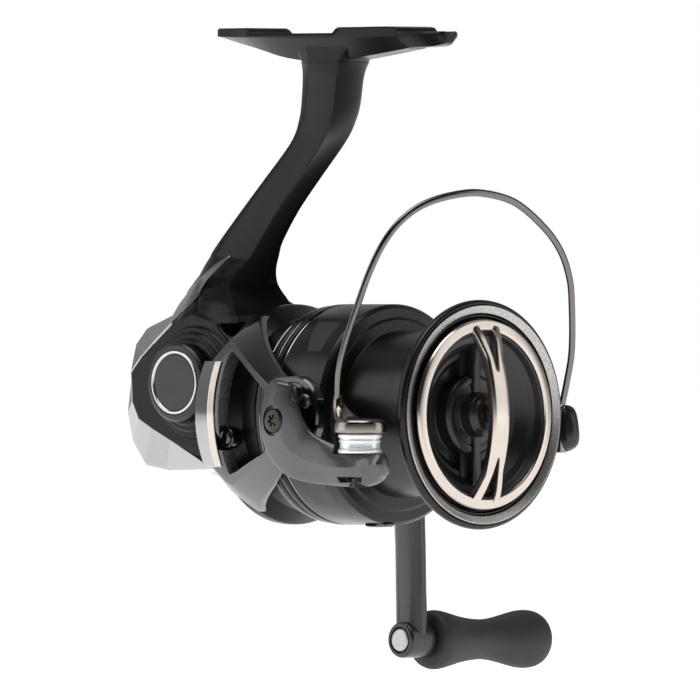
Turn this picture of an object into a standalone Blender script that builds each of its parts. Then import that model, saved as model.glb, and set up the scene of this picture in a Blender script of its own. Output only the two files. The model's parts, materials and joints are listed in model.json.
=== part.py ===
"""Spinning reel: a closed gearbox on a stem and foot, a two-armed rotor with a bail, an empty spool
with a front drag, and a screw-in handle.

Axes: +X runs forward along the spool axis, +Y to the handle side, +Z up to the rod. The origin is
the middle of the foot's top face. Shapes are written in millimetres from the point where the drive
gear's axis passes over the spool axis (x forward of the gear axis, z above the spool axis).
"""

import math

import bmesh
import bpy
from mathutils import Matrix, Vector

# Driving dimensions, millimetres and degrees.
AXIS_DEPTH = 81.0  # spool axis below the foot's top face
GEAR_BACK = 28.7  # gear axis behind the middle of the foot
GEAR_RISE = 6.7  # gear axis above the spool axis
FOOT_LENGTH = 65.2
FOOT_HALF_WIDTH = 7.0
FOOT_RIM = 1.9
CHEEK_Y = -13.5  # the flat near side of the gearbox
COVER_SEAT = 12.0  # y of the side cover's joint
SHAFT_R = 1.8
GEAR_TEETH, PINION_TEETH, WORM_TEETH = 40, 8, 10
GEAR_MEAN_R = 13.6
GEAR_IN_R, GEAR_OUT_R = 11.8, 15.4
TOOTH_CLEAR = 0.3
ROTOR_REAR, ROTOR_RING_R = 13.8, 23.1
ARM_REAR_R, ARM_TAPER = 24.8, 0.18  # radius of the arms' outer face at x = 12, and its growth
ARM_THICK = 2.7
BAIL_PIVOT = (42.4, -1.2)
ROLLER = (63.5, -29.0, -5.9)
ROLLER_R = 3.9
SPOOL_REAR, SPOOL_RIM, SPOOL_FRONT = 26.0, 46.2, 70.9
SKIRT_R, ARBOR_R, LIP_R = 23.1, 17.4, 24.0
KNOB_RING_IN, KNOB_RING_OUT = 17.4, 20.0
HANDLE_THROW = 54.4
HANDLE_Y = 51.4
WIRE_R = 0.6
COVER_SCREWS = [(-15.5, 6.5), (-7.0, -5.0), (-4.5, 19.6)]  # x, z of the side cover's screws
PINION_PHASE = 0.51  # turn of the pinion, in radians, that seats its teeth in the drive gear's
WORM_PHASE = 0.51  # the same for the worm gear against the pinion

# Derived.
HELIX_ANGLE = math.asin(GEAR_RISE / GEAR_MEAN_R)
MESH_X = math.sqrt(GEAR_MEAN_R**2 - GEAR_RISE**2)
PINION_R = PINION_TEETH * GEAR_MEAN_R / GEAR_TEETH / math.cos(HELIX_ANGLE)
PINION_ROOT, PINION_TIP = PINION_R - 0.63, PINION_R + 0.62
WORM_R = PINION_R * WORM_TEETH / PINION_TEETH
WORM_Z = -2.43
WORM_Y = math.sqrt((PINION_R + WORM_R) ** 2 - WORM_Z**2)
HELIX_TURN = math.tan(HELIX_ANGLE) / PINION_R  # radians of tooth twist per millimetre

SHIFT = Vector((-GEAR_BACK, 0.0, -AXIS_DEPTH))
MM = 0.001
TAU = 2 * math.pi

# Material colours (base colour, metallic, roughness).
FINISHES = {
    "slate": ((0.030, 0.032, 0.036), 0.35, 0.38),
    "matte_black": ((0.012, 0.012, 0.013), 0.20, 0.45),
    "gloss_black": ((0.008, 0.008, 0.009), 0.30, 0.15),
    "graphite": ((0.085, 0.088, 0.094), 0.70, 0.36),
    "gunmetal": ((0.30, 0.30, 0.31), 0.95, 0.22),
    "champagne": ((0.52, 0.46, 0.40), 1.00, 0.14),
    "bronze": ((0.25, 0.22, 0.19), 1.00, 0.18),
    "steel": ((0.62, 0.63, 0.65), 1.00, 0.20),
    "brass": ((0.62, 0.47, 0.20), 1.00, 0.30),
    "zinc": ((0.42, 0.43, 0.45), 0.95, 0.35),
    "felt": ((0.10, 0.095, 0.085), 0.00, 0.95),
    "rubber": ((0.028, 0.030, 0.034), 0.00, 0.62),
    "handle_metal": ((0.045, 0.050, 0.050), 0.60, 0.40),
}


def finish(name):
    found = bpy.data.materials.get(name)
    if found:
        return found
    made = bpy.data.materials.new(name)
    made.use_nodes = True
    colour, metallic, roughness = FINISHES[name]
    shader = made.node_tree.nodes["Principled BSDF"]
    shader.inputs["Base Color"].default_value = (*colour, 1.0)
    shader.inputs["Metallic"].default_value = metallic
    shader.inputs["Roughness"].default_value = roughness
    return made


def solid(name, points, faces):
    """A closed mesh object from points in reel millimetres, its faces turned outward."""
    mesh = bpy.data.meshes.new(name)
    mesh.from_pydata([(Vector(p) + SHIFT) * MM for p in points], [], faces)
    work = bmesh.new()
    work.from_mesh(mesh)
    bmesh.ops.recalc_face_normals(work, faces=work.faces)
    work.to_mesh(mesh)
    work.free()
    obj = bpy.data.objects.new(name, mesh)
    bpy.context.collection.objects.link(obj)
    return obj


def loft(name, loops, closed=False):
    """A skin over loops of equally many points: capped at both ends, or joined end to end."""
    count = len(loops[0])
    points = [p for loop in loops for p in loop]
    faces = []
    for i in range(len(loops) if closed else len(loops) - 1):
        a, b = i * count, (i + 1) % len(loops) * count
        for k in range(count):
            n = (k + 1) % count
            faces.append((a + k, a + n, b + n, b + k))
    if not closed:
        faces.append(tuple(range(count)))
        faces.append(tuple(range(len(points) - count, len(points))))
    return solid(name, points, faces)


def placed(axis, centre, along, radius, angle):
    """The point at this distance along the axis, this radius out and this angle round it."""
    c, s = radius * math.cos(angle), radius * math.sin(angle)
    x, y, z = centre
    if axis == "X":
        return (x + along, y + c, z + s)
    if axis == "Y":
        return (x + s, y + along, z + c)
    return (x + c, y + s, z + along)


def lathe(name, profile, axis="X", centre=(0, 0, 0), steps=32):
    """A turned solid. The profile is (along, radius): a closed ring, or open with its ends at radius 0."""
    points, rows = [], []
    for along, radius in profile:
        if radius == 0:
            rows.append([len(points)])
            points.append(placed(axis, centre, along, 0, 0))
        else:
            rows.append(list(range(len(points), len(points) + steps)))
            points += [placed(axis, centre, along, radius, TAU * k / steps) for k in range(steps)]
    faces = []
    ring = profile[0][1] > 0
    for i in range(len(rows) if ring else len(rows) - 1):
        a, b = rows[i], rows[(i + 1) % len(rows)]
        for k in range(steps):
            n = (k + 1) % steps
            if len(a) == 1 and len(b) == 1:
                break
            if len(a) == 1:
                faces.append((a[0], b[k], b[n]))
            elif len(b) == 1:
                faces.append((a[k], b[0], a[n]))
            else:
                faces.append((a[k], b[k], b[n], a[n]))
    return solid(name, points, faces)


def rod(name, start, end, radius, axis="X", centre=(0, 0, 0), steps=24):
    return lathe(name, [(start, 0), (start, radius), (end, radius), (end, 0)], axis, centre, steps)


def tube(name, start, end, inner, outer, axis="X", centre=(0, 0, 0), steps=24):
    profile = [(start, inner), (start, outer), (end, outer), (end, inner)]
    return lathe(name, profile, axis, centre, steps)


def box(name, low, high):
    (x0, y0, z0), (x1, y1, z1) = low, high
    return loft(name, [[(x, y0, z0), (x, y1, z0), (x, y1, z1), (x, y0, z1)] for x in (x0, x1)])


def prism(name, outline, y0, y1):
    """An outline in the x-z plane, pushed through from y0 to y1."""
    return loft(name, [[(x, y, z) for x, z in outline] for y in (y0, y1)])


def combine(obj, others, operation):
    for other in others:
        change = obj.modifiers.new(operation, "BOOLEAN")
        change.operation = operation
        change.solver = "EXACT"
        change.object = other
    bpy.context.view_layer.update()
    graph = bpy.context.evaluated_depsgraph_get()
    mesh = bpy.data.meshes.new_from_object(obj.evaluated_get(graph))
    obj.modifiers.clear()
    obj.data = mesh
    for other in others:
        bpy.data.objects.remove(other)
    return obj


def cut(obj, *others):
    return combine(obj, others, "DIFFERENCE")


def join(obj, *others):
    return combine(obj, others, "UNION")


def dress(obj, material, angle=35.0):
    """Gives the finished piece its material and its smooth shading."""
    obj.data.materials.clear()
    obj.data.materials.append(finish(material))
    obj.data.shade_smooth()
    obj.data.set_sharp_from_angle(angle=math.radians(angle))
    return obj


def oval(centre, half_x, half_y, power, count):
    """A rounded rectangle of points in a level plane."""
    x, y, z = centre
    loop = []
    for k in range(count):
        c, s = math.cos(TAU * k / count), math.sin(TAU * k / count)
        loop.append(
            (
                x + half_x * math.copysign(abs(c) ** (2 / power), c),
                y + half_y * math.copysign(abs(s) ** (2 / power), s),
                z,
            )
        )
    return loop


def tubed(name, path, sizes, sides=8, across=(0, 1, 0)):
    """A bar along a path. Each size is (half width across, half depth) and across is its width line."""
    loops = []
    for i, here in enumerate(path):
        ahead = Vector(path[min(i + 1, len(path) - 1)]) - Vector(path[max(i - 1, 0)])
        side = Vector(across) - Vector(across).project(ahead)
        side.normalize()
        up = ahead.cross(side).normalized()
        wide, deep = sizes[i] if isinstance(sizes, list) else sizes
        loops.append(
            [
                Vector(here)
                + side * wide * math.cos(TAU * (k + 0.5) / sides)
                + up * deep * math.sin(TAU * (k + 0.5) / sides)
                for k in range(sides)
            ]
        )
    return loft(name, loops)


def smooth_path(points, parts):
    """Points along a curve through the given ones (Catmull-Rom)."""
    ends = [points[0]] + list(points) + [points[-1]]
    path = []
    for i in range(1, len(ends) - 2):
        a, b, c, d = (Vector(p) for p in ends[i - 1 : i + 3])
        for k in range(parts):
            t = k / parts
            path.append(
                0.5
                * (
                    2 * b
                    + (c - a) * t
                    + (2 * a - 5 * b + 4 * c - d) * t * t
                    + (3 * b - a - 3 * c + d) * t**3
                )
            )
    path.append(Vector(points[-1]))
    return path


def foot_section(x, half, top, rim, depth, dip):
    """One crosswise slice of the foot: a flat top with a dip in it, thin rims and a deep middle."""
    return [
        (x, -half, top - 0.5),
        (x, -half + 0.6, top),
        (x, -half * 0.55, top),
        (x, -half * 0.28, top - dip),
        (x, half * 0.28, top - dip),
        (x, half * 0.55, top),
        (x, half - 0.6, top),
        (x, half, top - 0.5),
        (x, half, top - rim),
        (x, half * 0.45, top - depth),
        (x, -half * 0.45, top - depth),
        (x, -half, top - rim),
    ]


# Side outline of the gearbox at its full width, and of its flat cheeks.
MID_OUTLINE = [
    (15.0, -9.5), (8.0, -11.1), (-12.0, -11.1), (-17.5, -10.0), (-22.0, -5.5), (-25.3, 0.4),
    (-24.4, 9.2), (-22.3, 14.5), (-20.1, 17.6), (-13.0, 20.2), (-9.8, 24.0), (-4.0, 29.0),
    (5.6, 24.4), (9.6, 19.4), (15.0, 15.5),
]  # fmt: skip
CHEEK_OUTLINE = [
    (14.0, -7.0), (8.0, -8.4), (-8.0, -8.4), (-13.0, -7.2), (-17.5, -3.5), (-20.6, 1.4),
    (-20.4, 8.6), (-18.2, 12.8), (-15.6, 15.2), (-10.4, 17.4), (-8.0, 20.6), (-4.0, 24.0),
    (5.0, 21.0), (9.5, 17.0), (13.6, 13.0),
]  # fmt: skip
CAVITY_OUTLINE = [
    (14.0, -9.0), (-11.5, -9.0), (-18.0, -6.6), (-22.0, 0.6), (-21.4, 8.8), (-19.2, 13.8),
    (-11.6, 17.4), (-5.5, 22.0), (5.0, 22.0), (10.0, 18.6), (14.0, 13.5),
]  # fmt: skip


def grown(outline, middle, factor):
    return [(middle[0] + (x - middle[0]) * factor, middle[1] + (z - middle[1]) * factor) for x, z in outline]


def between(low, high, share):
    return [(a + (c - a) * share, b + (d - b) * share) for (a, b), (c, d) in zip(low, high)]


def at_y(outline, y):
    return [(x, y, z) for x, z in outline]


def make_body():
    """Gearbox housing, stem and foot as one casting, with the seats of its bearings cut out."""
    shell = loft(
        "body_frame",
        [
            at_y(CHEEK_OUTLINE, CHEEK_Y),
            at_y(grown(MID_OUTLINE, (-4, 5), 0.975), -8.0),
            at_y(grown(MID_OUTLINE, (-4, 5), 0.985), 0.0),
            at_y(grown(MID_OUTLINE, (-4, 5), 0.975), 8.0),
            at_y(between(MID_OUTLINE, CHEEK_OUTLINE, 0.55), COVER_SEAT),
        ],
    )
    stem_rows = [
        (20.0, -2.5, 10.5, 8.6), (27.1, -2.1, 9.6, 6.8), (30.2, -0.7, 8.4, 5.6), (36.5, 3.2, 7.0, 4.7),
        (42.8, 8.7, 6.3, 4.3), (49.1, 14.9, 6.1, 4.1), (55.4, 21.2, 5.9, 4.0), (58.6, 23.8, 5.9, 4.0),
        (61.7, 25.3, 6.1, 4.1), (64.9, 26.2, 6.3, 4.2), (71.2, 27.0, 6.6, 4.4), (74.5, 27.6, 7.8, 5.0),
        (77.8, 28.4, 11.0, 5.8),
    ]  # fmt: skip
    stem = loft("stem", [oval((x, 0, z), hx, hy, 2.6, 16) for z, x, hx, hy in stem_rows])
    rear, front = GEAR_BACK - FOOT_LENGTH / 2, GEAR_BACK + FOOT_LENGTH / 2
    top = AXIS_DEPTH
    rows = [
        (rear, 1.6, top, 1.5, 1.6, 0), (rear + 0.7, 3.2, top, 1.7, 1.9, 0), (rear + 2.4, 4.8, top, 1.9, 2.2, 0),
        (8.0, 6.4, top, FOOT_RIM, 3.8, 0), (17.0, FOOT_HALF_WIDTH, top, FOOT_RIM, 5.4, 0),
        (28.7, FOOT_HALF_WIDTH, top, FOOT_RIM, 6.0, 0), (40.0, FOOT_HALF_WIDTH, top, FOOT_RIM, 4.6, 0),
        (51.0, 6.1, top, FOOT_RIM, 3.3, 0), (52.4, 5.9, top - 1.0, FOOT_RIM - 0.9, 2.2, 0.01),
        (front - 2.4, 4.8, top - 1.0, 1.0, 1.7, 0.6), (front - 0.7, 3.2, top - 1.0, 0.9, 1.3, 0.4),
        (front, 1.6, top - 1.0, 0.9, 1.1, 0.2),
    ]  # fmt: skip
    foot = loft("foot", [foot_section(*row) for row in rows])
    notch = prism("notch", [(13.4, 81.3), (15.0, 79.9), (24.6, 79.9), (26.2, 81.3)], -12, 12)
    cut(foot, notch)
    gear_axis = (0, 0, GEAR_RISE)
    boss = lathe(
        "boss",
        [(-16.6, 0), (-16.6, 8.9), (-15.6, 9.2), (-15.5, 10.0), (-14.4, 10.3), (-14.3, 11.3),
         (-12.6, 11.6), (-8.0, 11.6), (-8.0, 0)],
        "Y", gear_axis, 32,
    )  # fmt: skip
    nose = lathe(
        "nose",
        [(9.4, 0), (9.4, 16.6), (10.4, 17.6), (14.5, 17.6), (16.6, 16.6), (17.2, 13.0), (26.6, 12.6),
         (26.6, 0)],
        steps=32,
    )  # fmt: skip
    join(shell, stem, foot, boss, nose)
    cut(
        shell,
        prism("cavity", CAVITY_OUTLINE, -8.8, 13.0),
        rod("gear_room", -8.9, 0.2, GEAR_OUT_R + 0.5, "Y", gear_axis, 32),
        guard_skin("guard_seat", 0.5, 3.0, 0.5),
        rod("bearing_seat", -13.4, -8.0, 7.1, "Y", gear_axis, 24),
        rod("shaft_hole", -17.0, -8.0, 4.0, "Y", gear_axis, 20),
        rod("pinion_seat", 13.0, 20.6, 7.4, steps=24),
        rod("clutch_seat", 20.1, 27.0, 11.4, steps=28),
    )
    return dress(shell, "slate", 28)


def make_cover():
    """The side plate on the handle side, with the seat of its bearing."""
    inner = between(MID_OUTLINE, CHEEK_OUTLINE, 0.60)
    plate = loft(
        "side_cover",
        [at_y(inner, COVER_SEAT + 0.3), at_y(grown(CHEEK_OUTLINE, (-4, 5), 0.97), 15.0)],
    )
    boss = lathe(
        "cover_boss",
        [(12.4, 0), (12.4, 10.6), (15.6, 10.4), (17.2, 9.4), (17.2, 0)],
        "Y", (0, 0, GEAR_RISE), 32,
    )  # fmt: skip
    join(plate, boss)
    cut(
        plate,
        rod("nose_clearance", 9.1, 30.0, 18.2, steps=32),
        rod("cover_seat", 11.0, 16.0, 7.1, "Y", (0, 0, GEAR_RISE), 24),
        rod("cover_hole", 11.0, 18.0, 4.0, "Y", (0, 0, GEAR_RISE), 20),
        *[rod("screw_hole", 13.2, 16.0, 1.9, "Y", (x, 0, z), 12) for x, z in COVER_SCREWS],
    )
    return dress(plate, "slate", 28)


def make_screw(name, centre, head_r, head, depth):
    """A screw head that faces +y: a low domed disc with a cross this deep in its face."""
    disc = lathe(
        name,
        [(0, 0), (0, head_r * 0.96), (head * 0.7, head_r), (head, head_r * 0.8), (head, 0)],
        "Y", centre, 14,
    )  # fmt: skip
    x, y, z = centre
    slots = []
    for a, b in ((0.55, 0.13), (0.13, 0.55)):
        low = (x - a * head_r, y + head - depth, z - b * head_r)
        slots.append(box("slot", low, (x + a * head_r, y + head + 1.0, z + b * head_r)))
    return dress(cut(disc, *slots), "gloss_black")


# The guard's run round the back of the gearbox: outer edge line (x, z), half width, drop at its sides.
GUARD_RUN = [
    ((-1.8, -11.3), 7.0, 0.4), ((-12.0, -11.3), 10.2, 1.6), ((-17.6, -10.2), 11.0, 2.2),
    ((-22.3, -5.6), 10.6, 2.0), ((-25.7, 0.4), 8.4, 0.3), ((-24.8, 9.2), 8.4, 0.3),
    ((-22.7, 14.7), 10.4, 1.8), ((-20.3, 18.0), 10.8, 2.2), ((-13.0, 20.9), 9.4, 1.2),
    ((-9.6, 24.6), 6.6, 0.8), ((-6.2, 28.4), 4.6, 0.7), ((-2.6, 32.4), 2.6, 0.5), ((-0.6, 34.4), 1.2, 0.4),
]  # fmt: skip


def guard_skin(name, under, over, beside):
    """The guard's shape, 1 mm thick, made thicker under, over and beside it by these amounts."""
    loops = []
    for i, ((x, z), half, drop) in enumerate(GUARD_RUN):
        (ax, az), (bx, bz) = GUARD_RUN[max(i - 1, 0)][0], GUARD_RUN[min(i + 1, len(GUARD_RUN) - 1)][0]
        length = math.hypot(bx - ax, bz - az)
        nx, nz = -(az - bz) / length, (ax - bx) / length
        if i in (0, len(GUARD_RUN) - 1):
            past = beside if i else -beside
            x, z = x + past * (bx - ax) / length, z + past * (bz - az) / length
        flat = min(half - 0.8, 8.0)
        loop = []
        for y, out in (
            (-half - beside, over - drop), (-flat, over), (flat, over), (half + beside, over - drop),
            (half + beside, -1.0 - under - drop), (flat, -1.0 - under), (-flat, -1.0 - under),
            (-half - beside, -1.0 - under - drop),
        ):  # fmt: skip
            loop.append((x - nx * out, y, z - nz * out))
        loops.append(loop)
    return loft(name, loops)


def make_guard():
    """The bright guard that wraps the back of the gearbox, clear of it by a thin seam."""
    return dress(guard_skin("rear_guard", 0.0, 0.0, 0.0), "gunmetal", 20)


def make_drive():
    """Drive gear with its hollow shaft, and the pinion: radial face teeth against a helical pinion."""
    axis = (0, 0, GEAR_RISE)
    tip, root = -(PINION_ROOT + TOOTH_CLEAR), -(PINION_TIP + TOOTH_CLEAR)
    gear = lathe(
        "drive_gear",
        [(-15.6, 2.75), (-15.6, 3.4), (-9.2, 3.4), (-9.2, 5.0), (-8.0, 5.4), (-8.0, 15.4),
         (root, 15.4), (root, 11.8), (-6.4, 11.4), (-6.4, 5.0), (-5.0, 3.4), (16.2, 3.4), (16.2, 2.75)],
        "Y", axis, GEAR_TEETH,
    )  # fmt: skip
    teeth = []
    wide, thin = 0.27 * TAU / GEAR_TEETH, 0.11 * TAU / GEAR_TEETH
    for k in range(GEAR_TEETH):
        turn = TAU * (k + 0.5) / GEAR_TEETH
        loops = []
        for radius in (GEAR_IN_R + 0.15, GEAR_OUT_R - 0.15):
            loop = []
            for along, angle in ((root - 0.4, -wide), (tip, -thin), (tip, thin), (root - 0.4, wide)):
                loop.append(placed("Y", axis, along, radius, turn + angle))
            loops.append(loop)
        teeth.append(loft("tooth", loops))
    gear = join(gear, *teeth)
    dress(gear, "brass")

    loops = []
    x = 7.0
    while x < 16.01:
        loop = []
        for k in range(PINION_TEETH):
            for part, radius in zip((-0.30, -0.10, 0.10, 0.30), (PINION_ROOT, PINION_TIP, PINION_TIP, PINION_ROOT)):
                angle = TAU * (k + part) / PINION_TEETH + (x - MESH_X) * HELIX_TURN + PINION_PHASE
                loop.append(placed("X", (0, 0, 0), x, radius, angle))
        loops.append(loop)
        x += 0.9
    pinion = loft("pinion_gear", loops)
    stem = lathe(
        "pinion_stem",
        [(15.6, 0), (15.6, 3.4), (20.2, 3.4), (20.4, 3.2), (39.0, 3.2), (39.0, 0)],
        steps=20,
    )
    join(pinion, stem)
    cut(pinion, rod("bore", 5.0, 43.0, SHAFT_R + 0.2, steps=16))
    return gear, dress(pinion, "brass")


def groove_depth(x, angle, start, end, pitches):
    """How deep the crossing grooves cut the worm shaft at this point: full depth on either helix."""
    if not start < x < end:
        return 0.0
    turn = TAU * pitches * (x - start) / (end - start)
    near = min(abs(math.remainder(angle - turn, TAU)), abs(math.remainder(angle + turn, TAU)))
    return 0.5 if near < 0.42 else 0.0


def make_worm():
    """The crossed-groove shaft beside the pinion, which moves the slider, and its gear."""
    centre = (0, WORM_Y, WORM_Z)
    sides, start, end = 10, -18.0, 5.0
    loops = []
    for i in range(31):
        x = start + (end - start) * i / 30
        loops.append(
            [
                placed("X", centre, x, 2.1 - groove_depth(x, TAU * k / sides, start, end, 4), TAU * k / sides)
                for k in range(sides)
            ]
        )
    shaft = loft("worm_shaft", loops)
    tail = rod("tail", -19.4, -17.6, 1.2, "X", centre, 14)
    front = rod("front", 4.6, 13.2, 1.2, "X", centre, 14)
    dress(join(shaft, tail, front), "steel")
    loops = []
    twist = HELIX_TURN * PINION_R / WORM_R
    for x in (7.4, 8.3, 9.2, 10.1):
        loop = []
        for k in range(WORM_TEETH):
            for part, radius in ((-0.30, -0.85), (-0.10, 0.45), (0.10, 0.45), (0.30, -0.85)):
                angle = TAU * (k + part) / WORM_TEETH - (x - MESH_X) * twist + WORM_PHASE
                loop.append(placed("X", centre, x, WORM_R + radius, angle))
        loops.append(loop)
    gear = loft("worm_gear", loops)
    cut(gear, rod("bore", 7.0, 11.0, 1.45, "X", centre, 14))
    dress(gear, "zinc")


def arm_point(x, z, depth, side):
    """A point of a rotor arm's skin: on the cone of its outer face, or this deep under it."""
    radius = ARM_REAR_R + (x - 12.0) * ARM_TAPER
    y = math.sqrt(max(radius**2 - z**2, 0.0))
    scale = (radius - depth) / radius
    return (x, side * y * scale, z * scale)


# Outer edge and window edge of a rotor arm, as pairs round the frame.
ARM_FRAME = [
    ((12.2, 10.5), (17.5, 9.8)), ((17.0, 17.0), (18.9, 13.0)), ((22.0, 20.8), (22.5, 11.5)),
    ((31.0, 15.2), (28.0, 8.6)), ((38.4, 9.6), (32.8, 5.4)), ((44.4, 5.8), (34.5, 2.5)),
    ((46.8, -1.2), (35.0, -1.5)), ((44.4, -7.4), (34.5, -5.0)), ((38.4, -10.6), (33.5, -8.0)),
    ((31.8, -14.2), (28.0, -10.0)), ((21.5, -20.6), (22.0, -11.8)), ((16.4, -16.0), (18.5, -11.0)),
    ((12.2, -10.2), (17.5, -9.2)), ((11.8, 0.0), (17.2, 0.0)),
]  # fmt: skip


def make_rotor():
    """The cup round the spool skirt with its two open-framed arms."""
    rotor = lathe(
        "rotor",
        [(ROTOR_REAR, 20.8), (ROTOR_REAR, ROTOR_RING_R), (16.8, ROTOR_RING_R), (20.5, 20.4), (37.0, 20.0),
         (37.0, 18.0), (36.2, 18.0), (36.2, 3.5), (31.4, 3.5), (31.4, 8.0), (33.4, 8.4), (33.4, 18.2), (18.0, 18.8)],
        steps=40,
    )  # fmt: skip
    arms = []
    for side in (-1, 1):
        loops = []
        for (ox, oz), (ix, iz) in ARM_FRAME:
            loops.append(
                [
                    arm_point(ox, oz, ARM_THICK * 0.35, side),
                    arm_point(ox + (ix - ox) * 0.25, oz + (iz - oz) * 0.25, 0, side),
                    arm_point(ix, iz, 0, side),
                    arm_point(ix, iz, ARM_THICK, side),
                    arm_point(ox, oz, ARM_THICK, side),
                ]
            )
        arms.append(loft("arm", loops, closed=True))
    join(rotor, *arms)
    cut(
        rotor,
        rod("pivot_near", -40, -20, 2.3, "Y", (BAIL_PIVOT[0], 0, BAIL_PIVOT[1]), 16),
        rod("pivot_far", 20, 40, 2.3, "Y", (BAIL_PIVOT[0], 0, BAIL_PIVOT[1]), 16),
    )
    return dress(rotor, "graphite", 30)


def make_trim(name, side):
    """The bright band clipped on the rear edge of a rotor arm."""
    loops = []
    for i in range(9):
        z = -9.6 + 19.2 * i / 8
        lean = 0.5 * (1 - (z / 9.6) ** 2)
        radius = ARM_REAR_R + 0.35
        y = math.sqrt(radius**2 - z**2)
        x = 11.5 - lean
        loops.append(
            [
                (x - 0.7, side * (y - 3.6), z), (x - 0.9, side * (y - 1.0), z), (x + 0.4, side * (y + 0.6), z),
                (x + 3.6, side * (y + 1.1), z), (x + 3.6, side * (y + 0.75), z), (x + 0.7, side * (y + 0.1), z),
                (x - 0.1, side * (y - 1.1), z), (x - 0.1, side * (y - 3.6), z),
            ]
        )  # fmt: skip
    return dress(loft(name, loops), "champagne", 25)


def make_bail_arm():
    """The arm that carries the line roller, and the roller's screw."""
    px, pz = BAIL_PIVOT
    rx, ry, rz = ROLLER
    path = [
        (px + 1.4, -32.5, 6.2), (px + 0.9, -32.5, 3.0), (px + 1.6, -32.5, -1.8), (px + 2.9, -32.5, -4.7),
        (px + 5.8, -32.4, -7.5), (px + 9.8, -32.0, -9.2), (px + 15.4, -31.0, -10.4), (rx - 0.9, -29.8, -10.9),
        (rx + 2.6, ry + 0.2, -10.8), (rx + 4.9, ry + 0.3, -10.5),
    ]  # fmt: skip
    sizes = [
        (1.3, 3.0), (1.5, 4.5), (1.6, 6.0), (1.7, 6.1), (1.8, 5.8), (2.1, 5.0), (3.2, 4.3), (4.3, 4.1), (4.3, 3.9),
        (3.0, 2.6),
    ]  # fmt: skip
    arm = tubed("bail_arm", smooth_path(path, 2), doubled(sizes), 10)
    cut(
        arm,
        rod("screw_well", -40, -32.5, 3.2, "Y", (px, 0, pz), 20),
        rod("screw_hole", -33, -28, 2.3, "Y", (px, 0, pz), 16),
        rod("roller_seat", rz - 2.3, rz + 4.0, 5.6, "Z", (rx, ry, 0), 20),
        rod("screw_path", rz - 12.0, rz + 2, 1.35, "Z", (rx, ry, 0), 14),
        rod("head_path", rz - 16.0, rz - 7.1, 2.3, "Z", (rx, ry, 0), 14),
    )
    dress(arm, "graphite", 40)
    screw = join(
        rod("roller_screw", rz - 9.0, rz + 1.9, 1.15, "Z", (rx, ry, 0), 14),
        rod("roller_screw_head", rz - 9.2, rz - 7.4, 2.0, "Z", (rx, ry, 0), 14),
    )
    dress(screw, "steel")


def make_roller():
    """The line roller and the bushing that it turns on."""
    rx, ry, rz = ROLLER
    roller = lathe(
        "line_roller",
        [(-2.0, 2.0), (-2.0, ROLLER_R), (-1.3, ROLLER_R), (-0.7, ROLLER_R - 0.6), (0.5, ROLLER_R - 0.6),
         (1.1, ROLLER_R), (1.7, ROLLER_R), (1.7, 2.0)],
        "Z", ROLLER, 28,
    )  # fmt: skip
    dress(roller, "steel")
    dress(tube("roller_bushing", rz - 2.0, rz + 1.7, 1.35, 1.8, "Z", (rx, ry, 0), 20), "felt")


def make_wire():
    """The bail wire with the cap over the roller, and the far arm that holds its other end."""
    px, pz = BAIL_PIVOT
    rx, ry, rz = ROLLER
    arch = [
        (-29.4, 1.7), (-30.4, 9.0), (-29.7, 15.5), (-27.9, 23.1), (-26.0, 30.0), (-23.4, 35.9),
        (-19.7, 40.5), (-14.3, 43.9), (-7.0, 45.8), (0.2, 46.2), (9.1, 44.3), (17.4, 39.3),
        (22.7, 34.4), (26.0, 29.0), (27.7, 23.5), (29.5, 13.6), (29.4, 6.7), (28.9, 1.0),
    ]  # fmt: skip
    path = [(61.26 + 0.1427 * y + 0.1987 * z, y, z) for y, z in arch]
    wire = tubed("bail_wire", smooth_path(path, 2), (WIRE_R, WIRE_R * 1.35), 6, (1, 0, 0))
    cap = lathe(
        "wire_cap",
        [(2.0, 0), (2.0, 4.3), (2.8, 4.7), (4.9, 4.5), (5.6, 3.2), (5.6, 0)],
        "Z", ROLLER, 24,
    )  # fmt: skip
    neck = tubed(
        "wire_neck",
        [(rx - 0.5, ry, rz + 4.2), (rx - 3.4, ry - 0.1, rz + 5.6), (rx - 5.6, ry - 0.3, rz + 7.4),
         (rx - 6.0, ry - 0.5, rz + 9.4)],
        [(3.6, 1.1), (2.4, 1.1), (1.2, 1.0), (0.7, 0.9)], 8,
    )  # fmt: skip
    foot = rod("wire_foot", -8.0, 1.6, 1.1, "Z", (path[-1][0], path[-1][1], 0), 12)
    join(wire, cap, neck, foot)
    dress(wire, "bronze", 40)
    holder_path = [
        (px - 4.0, 32.6, pz + 1.0), (px, 32.8, pz), (px + 4.6, 32.7, pz - 2.4), (px + 11.0, 32.0, pz - 3.8),
        (px + 17.2, 31.0, pz - 3.2), (px + 22.3, 30.2, pz - 1.8), (px + 24.5, 30.0, pz - 1.4),
    ]
    holder_sizes = [(1.4, 3.4), (1.8, 5.2), (1.8, 4.6), (1.8, 3.6), (2.0, 3.6), (2.5, 5.0), (2.3, 4.6)]
    holder = tubed("bail_holder", smooth_path(holder_path, 2), doubled(holder_sizes), 10)
    cut(
        holder,
        rod("far_well", 33.6, 40, 3.1, "Y", (px, 0, pz), 20),
        rod("far_hole", 28, 40, 2.3, "Y", (px, 0, pz), 16),
        rod("wire_seat", -8.3, 12, 1.4, "Z", (path[-1][0], path[-1][1], 0), 12),
    )
    dress(holder, "matte_black", 40)


def doubled(sizes):
    """The same sizes with the halfway ones put between."""
    out = []
    for a, b in zip(sizes, sizes[1:]):
        out += [a, ((a[0] + b[0]) / 2, (a[1] + b[1]) / 2)]
    return out + [sizes[-1]]


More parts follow.
